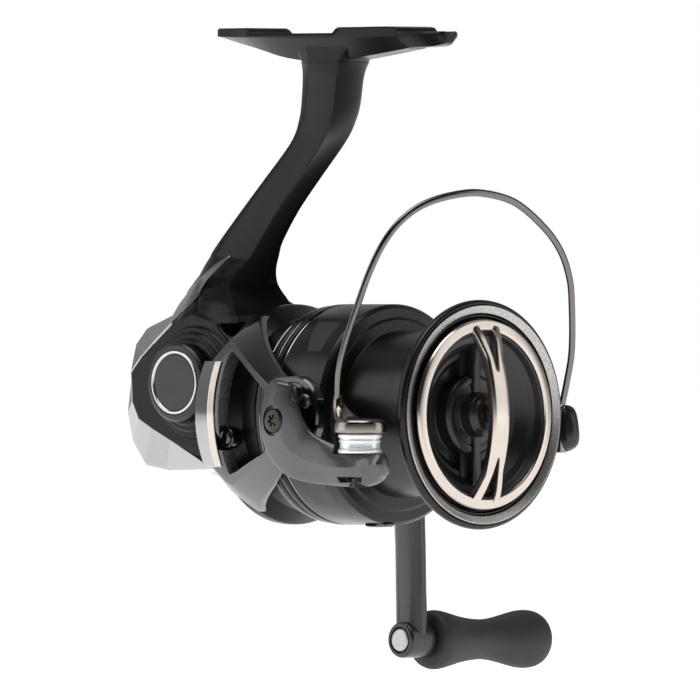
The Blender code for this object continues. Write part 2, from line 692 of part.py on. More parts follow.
def make_pivots():
    """The screws that the bail turns on, one at each rotor arm, with a cross in each head."""
    px, pz = BAIL_PIVOT
    for name, side, seat in (("bail_pivot_screw", -1, 32.6), ("bail_holder_screw", 1, 33.5)):
        pin = rod(name, *sorted((side * 25.2, side * (seat + 0.2))), 1.95, "Y", (px, 0, pz), 16)
        top = rod("head", *sorted((side * (seat + 0.2), side * (seat + 1.6))), 2.9, "Y", (px, 0, pz), 18)
        join(pin, top)
        low, high = sorted((side * (seat + 1.0), side * (seat + 3.0)))
        cut(
            pin,
            box("slot_a", (px - 1.5, low, pz - 0.3), (px + 1.5, high, pz + 0.3)),
            box("slot_b", (px - 0.3, low, pz - 1.5), (px + 0.3, high, pz + 1.5)),
        )
        dress(pin, "gloss_black")


def make_spool():
    """The empty spool with its skirt, lip ring and line clip."""
    spool = lathe(
        "spool",
        [(SPOOL_REAR, 21.4), (SPOOL_REAR, 22.8), (26.4, SKIRT_R), (31.6, SKIRT_R), (31.8, 22.6), (32.4, 22.6),
         (32.6, SKIRT_R), (45.4, SKIRT_R), (SPOOL_RIM, 22.3), (SPOOL_RIM, 20.2), (46.6, 19.8), (46.6, ARBOR_R),
         (65.8, ARBOR_R), (67.6, 19.4), (68.7, 22.4), (69.1, 23.8), (69.8, LIP_R), (70.5, 23.9),
         (SPOOL_FRONT, 23.4), (SPOOL_FRONT, 23.0), (70.1, 23.0),
         (70.1, 21.0), (70.4, 20.9), (70.4, 20.5), (69.4, 20.4), (68.7, 16.6), (68.2, 16.2), (48.6, 16.2),
         (48.6, 2.2), (44.2, 2.2), (44.2, 6.0), (45.0, 6.6), (45.0, 21.2)],
        steps=32,
    )  # fmt: skip
    dress(spool, "matte_black", 30)
    ring = lathe(
        "spool_lip_ring",
        [(70.3, 21.15), (70.3, 22.8), (71.0, 22.8), (71.3, 22.6), (71.3, 21.4), (71.0, 21.15)],
        steps=32,
    )
    dress(ring, "steel")
    clip = tubed(
        "line_clip",
        [(39.0, -2.0, -23.7), (40.0, -2.0, -24.1), (43.4, -2.0, -24.1), (44.4, -2.0, -23.7)],
        (1.3, 0.28), 8, (0, 1, 0),
    )  # fmt: skip
    dress(clip, "gunmetal")


def make_drag():
    """The drag stack in the spool's front, and the knob that presses on it."""
    x = 48.9
    for number in range(5):
        kind, thick, inner, outer = ("metal", 1.0, 2.6, 15.6) if number % 2 else ("felt", 1.1, 6.0, 15.0)
        ring = tube(f"drag_{kind}_washer_{number // 2 + 1}", x, x + thick, inner, outer, steps=28)
        dress(ring, "steel" if kind == "metal" else "felt")
        x += thick + 0.3
    gap = math.radians(20)
    loops = []
    for k in range(29):
        angle = gap + (TAU - 2 * gap) * k / 28
        section = ((0, 15.2), (0.7, 15.2), (0.7, 15.9), (0, 15.9))
        loops.append([placed("X", (0, 0, 0), x + along, radius, angle) for along, radius in section])
    dress(loft("drag_retainer", loops), "steel")
    knob = lathe(
        "drag_knob",
        [(72.9, 0), (72.9, 3.4), (71.7, 4.4), (68.9, 4.8), (68.3, 8.4), (65.7, 8.8), (65.7, 10.8), (70.0, 16.5),
         (70.0, 17.0), (69.2, 17.0), (68.6, 15.7), (64.2, 12.0), (63.2, 6.6), (58.6, 6.4), (58.6, 4.9),
         (66.6, 4.9), (66.6, 0)],
        steps=28,
    )  # fmt: skip
    dress(knob, "matte_black", 25)
    ring = lathe(
        "drag_knob_ring",
        [(69.7, KNOB_RING_IN), (69.7, 19.4), (70.2, 19.9), (71.3, KNOB_RING_OUT), (72.0, 19.2), (71.9, 18.4),
         (71.2, 17.5)],
        steps=32,
    )  # fmt: skip
    reach, rise = 18.6, 4.6
    bow = []
    for i in range(13):
        share = -1 + 2 * i / 12
        bow.append((71.0 + rise * max(math.cos(math.pi / 2 * share), 0.0) ** 0.8, 0, reach * share))
    join(ring, tubed("bar", bow, (2.4, 1.1), 8, (0, 1, 0)))
    dress(ring, "champagne", 30)
    nut = rod("drag_nut", 59.2, 62.6, 4.6, steps=6)
    dress(cut(nut, rod("nut_bore", 58, 64, SHAFT_R + 0.25, steps=16)), "brass", 20)


def make_shaft():
    """The main shaft, and the slider with its pawl that moves it along the guide rod."""
    shaft = lathe(
        "main_shaft",
        [(-14.4, 0), (-14.4, SHAFT_R), (66.2, SHAFT_R), (66.2, 0)],
        steps=20,
    )
    dress(shaft, "steel")
    block = box("slider_block", (-13.5, -1.3, -5.8), (-7.5, 11.7, 3.0))
    cut(
        block,
        rod("saddle", -14, -7, SHAFT_R + 0.15, steps=16),
        box("saddle_mouth", (-14, -2, -1.6), (-7, -0.5, 1.6)),
        rod("worm_path", -14, -7, 2.35, "X", (0, WORM_Y, WORM_Z), 16),
        rod("guide_path", -14, -7, 1.2, "X", (0, 10.2, 0.9), 12),
        rod("pawl_path", -8, -3, 1.2, "Z", (-10.5, WORM_Y, 0), 12),
        box("lightening", (-14, 2.8, 0.9), (-7, 8.4, 4.0)),
    )
    dress(block, "zinc")
    dress(rod("guide_rod", -19.6, 6.6, 1.0, "X", (0, 10.2, 0.9), 12), "steel")
    dress(rod("worm_pawl", -6.3, -4.75, 0.95, "Z", (-10.5, WORM_Y, 0), 12), "brass")


def make_bearings():
    """Ball bearings as plain rings, the one-way clutch with its sleeve, and the rotor nut."""
    axis = (0, 0, GEAR_RISE)
    dress(tube("drive_bearing_right", -13.1, -9.5, 3.7, 6.8, "Y", axis), "steel")
    dress(tube("drive_bearing_left", 12.3, 15.7, 3.7, 6.8, "Y", axis), "steel")
    dress(tube("pinion_bearing", 16.6, 19.7, 3.7, 7.1), "steel")
    dress(tube("anti_reverse_clutch", 20.5, 26.3, 5.9, 11.1, steps=28), "zinc")
    dress(tube("clutch_sleeve", 20.6, 31.1, 3.5, 5.6), "steel")
    nut = rod("rotor_nut", 36.5, 38.5, 5.8, steps=6)
    dress(cut(nut, rod("nut_bore", 36, 40, 3.5, steps=20)), "steel", 20)


def make_cap():
    """The cap over the handle's other thread, on the near side."""
    axis = (0, 0, GEAR_RISE)
    cap = lathe(
        "shaft_cap",
        [(-20.0, 0), (-20.0, 5.9), (-19.7, 5.95), (-19.7, 6.75), (-20.0, 6.85), (-19.9, 7.8), (-19.3, 8.3),
         (-17.3, 8.3), (-16.9, 7.9), (-16.9, 3.7), (-13.4, 3.7), (-13.4, 0)],
        "Y", axis, 28,
    )  # fmt: skip
    dress(cut(cap, rod("relief", -17.2, -12, 3.75, "Y", axis, 20)), "matte_black", 30)
    dress(tube("cap_ring", -20.15, -19.8, 6.05, 6.65, "Y", axis, 28), "steel")


def make_handle():
    """The screw-in handle: shank, collar, bent arm, knob pin and knob."""
    axis = (0, 0, GEAR_RISE)
    shank = lathe(
        "handle_shank",
        [(-12.0, 0), (-12.0, 2.5), (17.6, 2.5), (17.6, 4.0), (24.0, 4.0), (24.0, 2.5), (30.0, 2.5), (30.0, 0)],
        "Y", axis, 16,
    )  # fmt: skip
    dress(shank, "steel")
    collar = lathe(
        "handle_collar",
        [(17.6, 4.3), (17.6, 8.8), (18.6, 9.2), (20.4, 9.0), (24.2, 6.4), (24.2, 4.3)],
        "Y", axis, 32,
    )  # fmt: skip
    dress(collar, "matte_black", 30)
    end_z = GEAR_RISE - HANDLE_THROW
    path = [
        (0, 41.4, GEAR_RISE + 4.4), (0, 41.6, GEAR_RISE), (0, 43.4, -2.0), (0, 47.4, -9.0),
        (0, 50.0, -16.0), (0, 50.8, -26.0), (0, 51.1, -38.0), (0, HANDLE_Y, end_z),
    ]  # fmt: skip
    sizes = [(2.8, 2.0), (4.6, 3.0), (4.2, 2.8), (3.8, 2.5), (3.7, 2.3), (3.7, 2.1), (3.7, 2.2), (3.8, 2.6)]
    arm = tubed("handle_arm", smooth_path(path, 2), doubled(sizes), 10, (1, 0, 0))
    root = lathe(
        "arm_root",
        [(24.6, 0), (24.6, 5.4), (30.0, 4.8), (38.0, 5.2), (43.0, 4.6), (43.4, 0)],
        "Y", axis, 20,
    )  # fmt: skip
    hub = lathe(
        "arm_hub",
        [(47.6, 0), (47.6, 3.5), (48.0, 3.8), (54.8, 3.8), (55.2, 3.4), (55.2, 0)],
        "Y", (0, 0, end_z), 20,
    )  # fmt: skip
    join(arm, root, hub)
    cut(
        arm,
        rod("shank_hole", 24, 30.4, 2.8, "Y", axis, 16),
        rod("pin_hole", 49.4, 56, 1.9, "Y", (0, 0, end_z), 14),
        rod("cap_seat", 47.0, 48.6, 2.7, "Y", (0, 0, end_z), 20),
    )
    dress(arm, "handle_metal", 40)
    centre = (0, 0, end_z)
    dress(rod("knob_pin_cap", 47.5, 48.3, 2.4, "Y", centre, 20), "gunmetal")
    pin = lathe(
        "knob_pin",
        [(49.7, 0), (49.7, 1.6), (86.2, 1.6), (86.2, 2.4), (87.4, 2.4), (87.4, 0)],
        "Y", centre, 14,
    )  # fmt: skip
    dress(pin, "steel")
    knob = lathe(
        "handle_knob",
        [(55.6, 2.0), (55.6, 5.4), (56.2, 6.1), (58.5, 6.3), (62.0, 5.6), (67.0, 4.5), (72.0, 4.2), (76.5, 4.7),
         (81.0, 5.7), (84.6, 6.15), (87.4, 5.9), (89.0, 4.9), (89.3, 3.4), (88.4, 3.1), (85.8, 3.0), (85.8, 2.0)],
        "Y", centre, 28,
    )  # fmt: skip
    dress(knob, "rubber", 50)
    cap = lathe(
        "knob_end_cap",
        [(88.5, 0), (88.5, 2.8), (89.6, 2.7), (90.4, 1.8), (90.7, 0)],
        "Y", centre, 20,
    )  # fmt: skip
    dress(cap, "rubber", 50)


# Each joint's axis point, what it hangs under, and the pieces that move with it.
JOINT_GROUPS = {
    "crank_pivot": (
        (0, 0, GEAR_RISE), None,
        ["drive_gear", "handle_shank", "handle_collar", "handle_arm", "knob_pin", "knob_pin_cap"],
    ),
    "knob_pivot": ((0, HANDLE_Y, GEAR_RISE - HANDLE_THROW), "crank_pivot", ["handle_knob", "knob_end_cap"]),
    "worm_pivot": ((0, WORM_Y, WORM_Z), None, ["worm_shaft", "worm_gear"]),
    "rotor_pivot": (
        (20, 0, 0), None,
        ["pinion_gear", "rotor", "rotor_nut", "clutch_sleeve", "rotor_trim_near", "rotor_trim_far",
         "bail_pivot_screw", "bail_holder_screw"],
    ),
    "bail_pivot": (
        (BAIL_PIVOT[0], 0, BAIL_PIVOT[1]), "rotor_pivot",
        ["bail_arm", "bail_wire", "bail_holder", "roller_screw", "roller_bushing"],
    ),
    "roller_pivot": (ROLLER, "bail_pivot", ["line_roller"]),
    "shaft_slide": ((20, 0, 0), None, ["main_shaft", "slider_block", "worm_pawl"]),
    "spool_pivot": (
        (55, 0, 0), "shaft_slide",
        ["spool", "spool_lip_ring", "line_clip", "drag_felt_washer_1", "drag_metal_washer_1",
         "drag_felt_washer_2", "drag_metal_washer_2", "drag_felt_washer_3", "drag_retainer"],
    ),
    "drag_pivot": ((70, 0, 0), "shaft_slide", ["drag_knob", "drag_knob_ring", "drag_nut"]),
}  # fmt: skip


def shift_origin(piece, place):
    """Moves a piece's origin to this point, in metres, and leaves its surface where it is."""
    piece.data.transform(Matrix.Translation(-place))
    piece.location = place


def hang(name, axis_point, under, pieces):
    """An empty on a joint's axis, with its pieces parented to it and their origins on it."""
    pivot = bpy.data.objects.new(name, None)
    pivot.empty_display_size = 0.005
    bpy.context.collection.objects.link(pivot)
    place = (Vector(axis_point) + SHIFT) * MM
    if under:
        pivot.parent = bpy.data.objects[under]
        pivot.location = place - (Vector(JOINT_GROUPS[under][0]) + SHIFT) * MM
    else:
        pivot.location = place
    for piece_name in pieces:
        piece = bpy.data.objects[piece_name]
        shift_origin(piece, place)
        piece.location = (0, 0, 0)
        piece.parent = pivot


def middle(piece):
    corners = [Vector(corner) for corner in piece.bound_box]
    return (corners[0] + corners[6]) / 2


for old in list(bpy.data.objects):
    bpy.data.objects.remove(old)

make_body()
make_cover()
for number, (sx, sz) in enumerate(COVER_SCREWS, 1):
    make_screw(f"cover_screw_{number}", (sx, 13.5, sz), 1.6, 1.2, 0.7)
make_guard()
make_cap()
make_bearings()
make_drive()
make_worm()
make_shaft()
make_rotor()
make_trim("rotor_trim_near", -1)
make_trim("rotor_trim_far", 1)
make_bail_arm()
make_roller()
make_wire()
make_pivots()
make_spool()
make_drag()
make_handle()

for group, (axis_point, under, pieces) in JOINT_GROUPS.items():
    hang(group, axis_point, under, pieces)
for piece in bpy.data.objects:
    if piece.type == "MESH" and not piece.parent and piece.name != "body_frame":
        shift_origin(piece, middle(piece))
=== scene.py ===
"""Looks for the spinning reel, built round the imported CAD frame.

Shapes are written in millimetres from the point where the crank's axis passes over the spool's
axis: x forward, y to the handle side, z up. Both axes come from the frame's joints.
"""

# fmt: off
from math import copysign, cos, pi, radians, sin, sqrt

import bmesh
import bpy
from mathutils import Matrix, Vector
from mathutils.bvhtree import BVHTree
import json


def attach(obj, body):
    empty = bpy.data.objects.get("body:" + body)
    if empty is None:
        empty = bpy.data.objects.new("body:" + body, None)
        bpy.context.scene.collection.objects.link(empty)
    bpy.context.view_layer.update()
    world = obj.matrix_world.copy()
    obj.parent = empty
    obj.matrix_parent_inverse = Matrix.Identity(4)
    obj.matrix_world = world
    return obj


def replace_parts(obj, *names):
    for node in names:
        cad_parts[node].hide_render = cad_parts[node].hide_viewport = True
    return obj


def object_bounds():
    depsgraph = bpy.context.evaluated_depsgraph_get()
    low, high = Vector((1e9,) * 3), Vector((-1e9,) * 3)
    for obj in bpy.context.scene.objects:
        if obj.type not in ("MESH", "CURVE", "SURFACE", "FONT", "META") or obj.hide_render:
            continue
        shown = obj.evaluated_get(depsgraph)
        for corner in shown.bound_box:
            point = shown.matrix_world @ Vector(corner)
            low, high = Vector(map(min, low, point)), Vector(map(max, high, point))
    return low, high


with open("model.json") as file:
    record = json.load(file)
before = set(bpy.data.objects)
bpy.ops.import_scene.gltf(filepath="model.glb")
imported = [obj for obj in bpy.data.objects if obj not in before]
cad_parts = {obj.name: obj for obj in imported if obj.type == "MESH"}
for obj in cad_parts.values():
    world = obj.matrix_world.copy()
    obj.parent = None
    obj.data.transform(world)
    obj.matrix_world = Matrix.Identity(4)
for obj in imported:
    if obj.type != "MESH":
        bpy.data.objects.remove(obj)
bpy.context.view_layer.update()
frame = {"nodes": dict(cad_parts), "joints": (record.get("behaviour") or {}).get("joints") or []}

JOINTS = {joint["name"]: joint for joint in frame["joints"]}
MM = 0.001
TAU = 2 * pi

CRANK = Vector(JOINTS["crank_turn"]["pos_m"]) / MM
SPOOL_AXIS = Vector(JOINTS["rotor_turn"]["pos_m"]) / MM
HOME = Vector((CRANK.x, 0, SPOOL_AXIS.z))
CRANK_RISE = CRANK.z - SPOOL_AXIS.z
BAIL = Vector(JOINTS["bail_open"]["pos_m"]) / MM - HOME
ROLLER = Vector(JOINTS["roller_spin"]["pos_m"]) / MM - HOME
KNOB = Vector(JOINTS["knob_spin"]["pos_m"]) / MM - HOME
FOOT_TOP = -HOME.z

# Detail: steps round turned pieces, and the finest cell of the remeshed castings.
ROUND = 96
CELL = 0.30

# ---- materials


def tree_of(owner):
    return owner.node_tree.nodes, owner.node_tree.links


def add_node(owner, kind, **values):
    """A new shader node with these inputs. In their names, _ stands for a space."""
    node = owner.node_tree.nodes.new(f"ShaderNode{kind}")
    for key, value in values.items():
        node.inputs[key.replace("_", " ")].default_value = value
    return node


def object_texture(material, kind, **values):
    """A texture node laid out in object space."""
    texture = add_node(material, kind, **values)
    coords = add_node(material, "TexCoord")
    material.node_tree.links.new(coords.outputs["Object"], texture.inputs["Vector"])
    return texture


def feed_colour(material, value, low, high):
    """The base colour follows a value, between two stops of (position, colour)."""
    nodes, links = tree_of(material)
    ramp = add_node(material, "ValToRGB")
    for element, (position, colour) in zip(ramp.color_ramp.elements, (low, high)):
        element.position = position
        element.color = (*[min(1, c) for c in colour], 1)
    links.new(value, ramp.inputs["Fac"])
    links.new(ramp.outputs["Color"], nodes["Principled BSDF"].inputs["Base Color"])


def surface(
    name, colour, metallic, roughness, coat=0, mottle=0.10, grain=2500, bump=0, spread=0.05
):
    """A finish with its colour mottled by noise, its roughness varied and a fine bump."""
    material = bpy.data.materials.new(name)
    material.use_nodes = True
    nodes, links = tree_of(material)
    shader = nodes["Principled BSDF"]
    shader.inputs["Metallic"].default_value = metallic
    shader.inputs["Coat Weight"].default_value = coat
    shader.inputs["Coat Roughness"].default_value = 0.12
    broad = object_texture(material, "TexNoise", Scale=120, Detail=3)
    low, high = roughness - spread, roughness + spread
    vary = add_node(material, "MapRange", From_Min=0.3, From_Max=0.7, To_Min=low, To_Max=high)
    links.new(broad.outputs["Fac"], vary.inputs["Value"])
    links.new(vary.outputs["Result"], shader.inputs["Roughness"])
    fine = object_texture(material, "TexNoise", Scale=grain, Detail=2)
    dark, light = ([c * (1 + change) for c in colour] for change in (-mottle, mottle))
    feed_colour(material, fine.outputs["Fac"], (0.30, dark), (0.70, light))
    if bump:
        relief = add_node(material, "Bump", Strength=bump, Distance=0.00004)
        links.new(fine.outputs["Fac"], relief.inputs["Height"])
        links.new(relief.outputs["Normal"], shader.inputs["Normal"])
    return material


def flaked(name, colour, metallic, roughness, size, sparkle, coat=0.35, shine=0.5):
    """Paint with metal flakes: small cells, a few of them brighter."""
    material = surface(name, colour, metallic, roughness, coat=coat, mottle=0.05)
    nodes, links = tree_of(material)
    nodes["Principled BSDF"].inputs["Specular IOR Level"].default_value = shine
    cells = object_texture(material, "TexVoronoi", Scale=1.0 / (size * MM))
    split = add_node(material, "SeparateColor")
    links.new(cells.outputs["Color"], split.inputs["Color"])
    bright = [c * sparkle for c in colour]
    feed_colour(material, split.outputs["Red"], (0.35, colour), (0.95, bright))
    return material


def faded(material, low, high):
    """Matt below the first height and as smooth as the paint round it above the second."""
    nodes, links = tree_of(material)
    split = object_texture(material, "SeparateXYZ")
    bottom, top = (low + HOME.z) * MM, (high + HOME.z) * MM
    fade = add_node(material, "MapRange", From_Min=bottom, From_Max=top, To_Min=0.9, To_Max=0.33)
    links.new(split.outputs["Z"], fade.inputs["Value"])
    links.new(fade.outputs["Result"], nodes["Principled BSDF"].inputs["Roughness"])
    return material


FINISH = {
    # Colour, metallic and roughness, then flakes, coat, mottle or bump where there are any.
    "body": flaked("slate_paint", (0.0048, 0.0052, 0.0064), 0.15, 0.33, 0.12, 1.35, 0.08, 0.15),
    # Painted shade: the stem's hollow front gets a darker copy of the body paint, matt low down and
    # as smooth as the body higher up.
    "channel_shade": faded(
        flaked("channel_shade_paint", (0.003, 0.003, 0.0035), 0, 0.40, 0.12, 1.2, 0, 0.16), 48, 60.0
    ),
    "gloss": surface("gloss_black", (0.004, 0.004, 0.005), 0, 0.12, coat=0.8, spread=0.03),
    "satin": surface("satin_black", (0.006, 0.006, 0.007), 0, 0.36, mottle=0.15, bump=0.05),
    "anodised": surface("black_anodise", (0.008, 0.008, 0.009), 0.35, 0.30, grain=3500, bump=0.04),
    "graphite": flaked("graphite_flake", (0.082, 0.084, 0.089), 0.80, 0.36, 0.10, 1.30),
    "granular": surface(
        "granular_grey", (0.12, 0.12, 0.12), 0.3, 0.60, mottle=0.5, grain=1500, bump=1.0
    ),
    "gunmetal": surface("gunmetal_chrome", (0.36, 0.36, 0.37), 1, 0.16, mottle=0.04, spread=0.04),
    "champagne": surface(
        "champagne_chrome", (0.56, 0.505, 0.45), 1, 0.21, mottle=0.03, spread=0.04
    ),
    "bronze": surface("bronze_chrome", (0.26, 0.235, 0.21), 1, 0.20, mottle=0.05, spread=0.03),
    "wire": surface("dark_chrome", (0.165, 0.157, 0.150), 1, 0.24, mottle=0.05, spread=0.04),
    "lip": surface("lip_silver", (0.40, 0.39, 0.375), 1, 0.34, mottle=0.22, grain=2400, bump=0.5),
    "roller": surface("roller_white", (0.86, 0.88, 0.89), 0.35, 0.22, mottle=0.02, spread=0.03),
    "patch": surface("skirt_print", (0.030, 0.030, 0.031), 0.3, 0.45, mottle=0.10),
    "steel": surface("satin_steel", (0.50, 0.51, 0.53), 1, 0.26, mottle=0.06),
    "disc": surface("pin_disc", (0.46, 0.47, 0.47), 0.9, 0.38, mottle=0.10, bump=0.1),
    "brass": surface("gear_brass", (0.52, 0.39, 0.17), 1, 0.30, mottle=0.08),
    "zinc": surface("cast_zinc", (0.32, 0.33, 0.35), 0.9, 0.42, mottle=0.15, bump=0.2),
    "felt": surface("felt", (0.10, 0.09, 0.08), 0, 0.92, mottle=0.35, grain=1800, bump=0.8),
    "handle": flaked("handle_paint", (0.020, 0.023, 0.023), 0.35, 0.32, 0.12, 1.7),
    "rubber": surface(
        "knob_rubber", (0.017, 0.019, 0.023), 0, 0.58, mottle=0.12, grain=2200, bump=0.35
    ),
}

# ---- shapes


def added(name, data):
    """A new object in the scene."""
    obj = bpy.data.objects.new(name, data)
    bpy.context.scene.collection.objects.link(obj)
    return obj


def solid(name, points, faces, finish, angle=38):
    """A mesh piece from points in reel millimetres, faces turned outward."""
    mesh = bpy.data.meshes.new(name)
    mesh.from_pydata([(Vector(p) + HOME) * MM for p in points], [], faces)
    work = bmesh.new()
    work.from_mesh(mesh)
    bmesh.ops.recalc_face_normals(work, faces=work.faces)
    work.to_mesh(mesh)
    work.free()
    return dress(added(name, mesh), finish, angle)


def dress(obj, finish, angle=38):
    """Gives the piece its finish, if any, and smooth shading up to this angle."""
    if finish:
        obj.data.materials.clear()
        obj.data.materials.append(FINISH[finish])
    obj.data.shade_smooth()
    obj.data.set_sharp_from_angle(angle=radians(angle))
    return obj


def fit(obj, body, *nodes):
    """The piece moves with the body and stands for those CAD nodes."""
    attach(obj, body)
    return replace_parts(obj, *nodes) if nodes else obj


def softened(profile, reach, parts=3, closed=True):
    """An outline with each corner turned into a short curve that starts this far from it."""
    out = []
    count = len(profile)
    for i, here in enumerate(profile):
        here = Vector(here)
        if not closed and i in (0, count - 1):
            out.append(tuple(here))
            continue
        before, after = Vector(profile[i - 1]), Vector(profile[(i + 1) % count])
        a = here + (before - here).normalized() * min(reach, (before - here).length * 0.45)
        b = here + (after - here).normalized() * min(reach, (after - here).length * 0.45)
        for k in range(parts + 1):
            t = k / parts
            out.append(tuple((1 - t) ** 2 * a + 2 * t * (1 - t) * here + t * t * b))
    return out


def placed(axis, centre, along, radius, angle):
    """The point this far along an axis through the centre, at this radius and angle about it."""
    c, s = radius * cos(angle), radius * sin(angle)
    x, y, z = centre
    if axis == "X":
        return (x + along, y + c, z + s)
    if axis == "Y":
        return (x + s, y + along, z + c)
    return (x + c, y + s, z + along)


def lathe(
    name, profile, finish, axis="X", centre=(0, 0, 0), steps=ROUND, soften=0.18, ribs=None, angle=38
):
    """A turned piece. Its profile of (along, radius) is closed, or ends on the axis. Ribs, if any,
    give a radius from a point's (along, radius) and its step."""
    ring = profile[0][1] > 0
    profile = softened(profile, soften, closed=ring) if soften else profile
    points, rows = [], []
    for along, radius in profile:
        if radius <= 1e-6:
            rows.append([len(points)])
            points.append(placed(axis, centre, along, 0, 0))
            continue
        rows.append(list(range(len(points), len(points) + steps)))
        for k in range(steps):
            reach = ribs(along, radius, k) if ribs else radius
            points.append(placed(axis, centre, along, reach, TAU * k / steps))
    faces = []
    for i in range(len(rows) if ring else len(rows) - 1):
        a, b = rows[i], rows[(i + 1) % len(rows)]
        for k in range(steps):
            n = (k + 1) % steps
            if len(a) == 1 and len(b) == 1:
                break
            if len(a) == 1:
                faces.append((a[0], b[k], b[n]))
            elif len(b) == 1:
                faces.append((a[k], b[0], a[n]))
            else:
                faces.append((a[k], b[k], b[n], a[n]))
    return solid(name, points, faces, finish, angle)


def rod(name, start, end, radius, finish=None, axis="X", centre=(0, 0, 0), steps=48):
    profile = [(start, 0), (start, radius), (end, radius), (end, 0)]
    return lathe(name, profile, finish, axis, centre, steps, 0)


def cross_rod(name, side, near, far, radius, x, z, finish=None):
    """A rod across the reel, on one side of it and between these distances out."""
    return rod(name, *sorted((side * near, side * far)), radius, finish, "Y", (x, 0, z))


def gear_rod(name, start, end, radius):
    """A cutter along the crank's axis."""
    return rod(name, start, end, radius, None, "Y", GEAR_AXIS)


def loft(name, loops, finish, closed=False, angle=38):
    """A skin over loops of equal count: closed into a hoop, or with both end loops capped."""
    count = len(loops[0])
    points = [p for loop in loops for p in loop]
    faces = []
    for i in range(len(loops) if closed else len(loops) - 1):
        a, b = i * count, (i + 1) % len(loops) * count
        for k in range(count):
            n = (k + 1) % count
            faces.append((a + k, a + n, b + n, b + k))
    if not closed:
        faces.append(tuple(range(count)))
        faces.append(tuple(range(len(points) - count, len(points))))
    return solid(name, points, faces, finish, angle)


def curve_through(rows, parts):
    """Rows of numbers along a smooth curve through the given rows (Catmull-Rom)."""
    rows = [Vector(row) for row in rows]
    ends = [rows[0], *rows, rows[-1]]
    out = []
    for a, b, c, d in zip(ends, ends[1:], ends[2:], ends[3:]):
        square, cube = 2 * a - 5 * b + 4 * c - d, 3 * b - a - 3 * c + d
        for k in range(parts):
            t = k / parts
            out.append(0.5 * (2 * b + (c - a) * t + square * t * t + cube * t**3))
    return [*out, rows[-1]]


def box(name, low, high):
    (x0, y0, z0), (x1, y1, z1) = low, high
    return prism_x(name, [(y0, z0), (y1, z0), (y1, z1), (y0, z1)], x0, x1)


def at_y(outline, y):
    return [(x, y, z) for x, z in outline]


def prism(name, outline, y0, y1, finish=None):
    return loft(name, [at_y(outline, y0), at_y(outline, y1)], finish)


def prism_x(name, outline, x0, x1):
    return loft(name, [[(x, y, z) for y, z in outline] for x in (x0, x1)], None)


def bake(obj):
    """Replaces the piece's mesh by what its modifiers make of it."""
    bpy.context.view_layer.update()
    graph = bpy.context.evaluated_depsgraph_get()
    mesh = bpy.data.meshes.new_from_object(obj.evaluated_get(graph))
    obj.modifiers.clear()
    obj.data = mesh
    return obj


def combine(obj, others, operation):
    for other in others:
        change = obj.modifiers.new(operation, "BOOLEAN")
        change.operation = operation
        change.solver = "EXACT"
        change.object = other
    bake(obj)
    for other in others:
        bpy.data.objects.remove(other)
    return obj


def cut(obj, *others):
    return combine(obj, others, "DIFFERENCE")


def cast(name, shapes, cell, rounds, finish, angle=180):
    """Overlapping shapes fused as one casting, its inner and outer corners rounded off."""
    work = bmesh.new()
    for shape in shapes:
        work.from_mesh(shape.data)
        bpy.data.objects.remove(shape)
    mesh = bpy.data.meshes.new(name)
    work.to_mesh(mesh)
    work.free()
    obj = added(name, mesh)
    fuse = obj.modifiers.new("fuse", "REMESH")
    fuse.mode = "VOXEL"
    fuse.voxel_size = cell * MM
    smooth = obj.modifiers.new("smooth", "SMOOTH")
    smooth.factor = 0.5
    smooth.iterations = rounds
    return dress(bake(obj), finish, angle)


def bevelled(obj, width, segments=2, angle=30):
    edge = obj.modifiers.new("edge", "BEVEL")
    edge.width = width * MM
    edge.segments = segments
    edge.limit_method = "ANGLE"
    edge.angle_limit = radians(angle)
    return bake(obj)


def swept(name, path, sizes, finish, across=(0, 1, 0), sides=28, power=2.4, angle=60, keel=0):
    """A bar along a path, its section a rounded rectangle. Sizes are (half across, half deep). A
    keel draws the side away from `across` in toward its edges, which leaves a ridge along it."""
    loops = []
    for i, here in enumerate(path):
        ahead = Vector(path[min(i + 1, len(path) - 1)]) - Vector(path[max(i - 1, 0)])
        side = Vector(across) - Vector(across).project(ahead)
        side.normalize()
        up = ahead.cross(side).normalized()
        wide, deep = sizes[i] if isinstance(sizes, list) else sizes
        loop = []
        for k in range(sides):
            c, s = cos(TAU * k / sides), sin(TAU * k / sides)
            c = copysign(abs(c) ** (2 / power), c)
            s = copysign(abs(s) ** (2 / power), s)
            c *= 1 - keel * abs(s) if c < 0 else 1
            loop.append(Vector(here) + side * wide * c + up * deep * s)
        loops.append(loop)
    return loft(name, loops, finish, angle=angle)


def bar(name, rows, parts, finish, across=(0, 1, 0), sides=28, power=2.4, keel=0):
    """A swept bar from rows of (x, y, z, half across, half deep), with domed ends."""
    dense = curve_through(rows, parts)
    first, last = dense[0], dense[-1]

    def dome(row, beyond):
        out = []
        step = Vector(row[:3]) - Vector(beyond[:3])
        step.normalize()
        for k in range(1, 5):
            turn = pi / 2 * k / 4
            shrink = max(cos(turn), 0.12)
            centre = Vector(row[:3]) + step * min(row[3], row[4]) * 0.75 * sin(turn)
            out.append(Vector((*centre, row[3] * shrink, row[4] * shrink)))
        return out

    dense = list(reversed(dome(first, dense[1]))) + dense + dome(last, dense[-2])
    path, sizes = [row[:3] for row in dense], [(row[3], row[4]) for row in dense]
    return swept(name, path, sizes, finish, across, sides, power, keel=keel)


# ---- body, stem and foot

GEAR_AXIS = (0, 0, CRANK_RISE)
CHEEK_Y, COVER_SEAT = -13.5, 12.0
BODY_MIDDLE = (-4, 5)
COVER_SCREWS = [(-15.5, 6.5), (-7, -5), (-4.5, 19.6)]

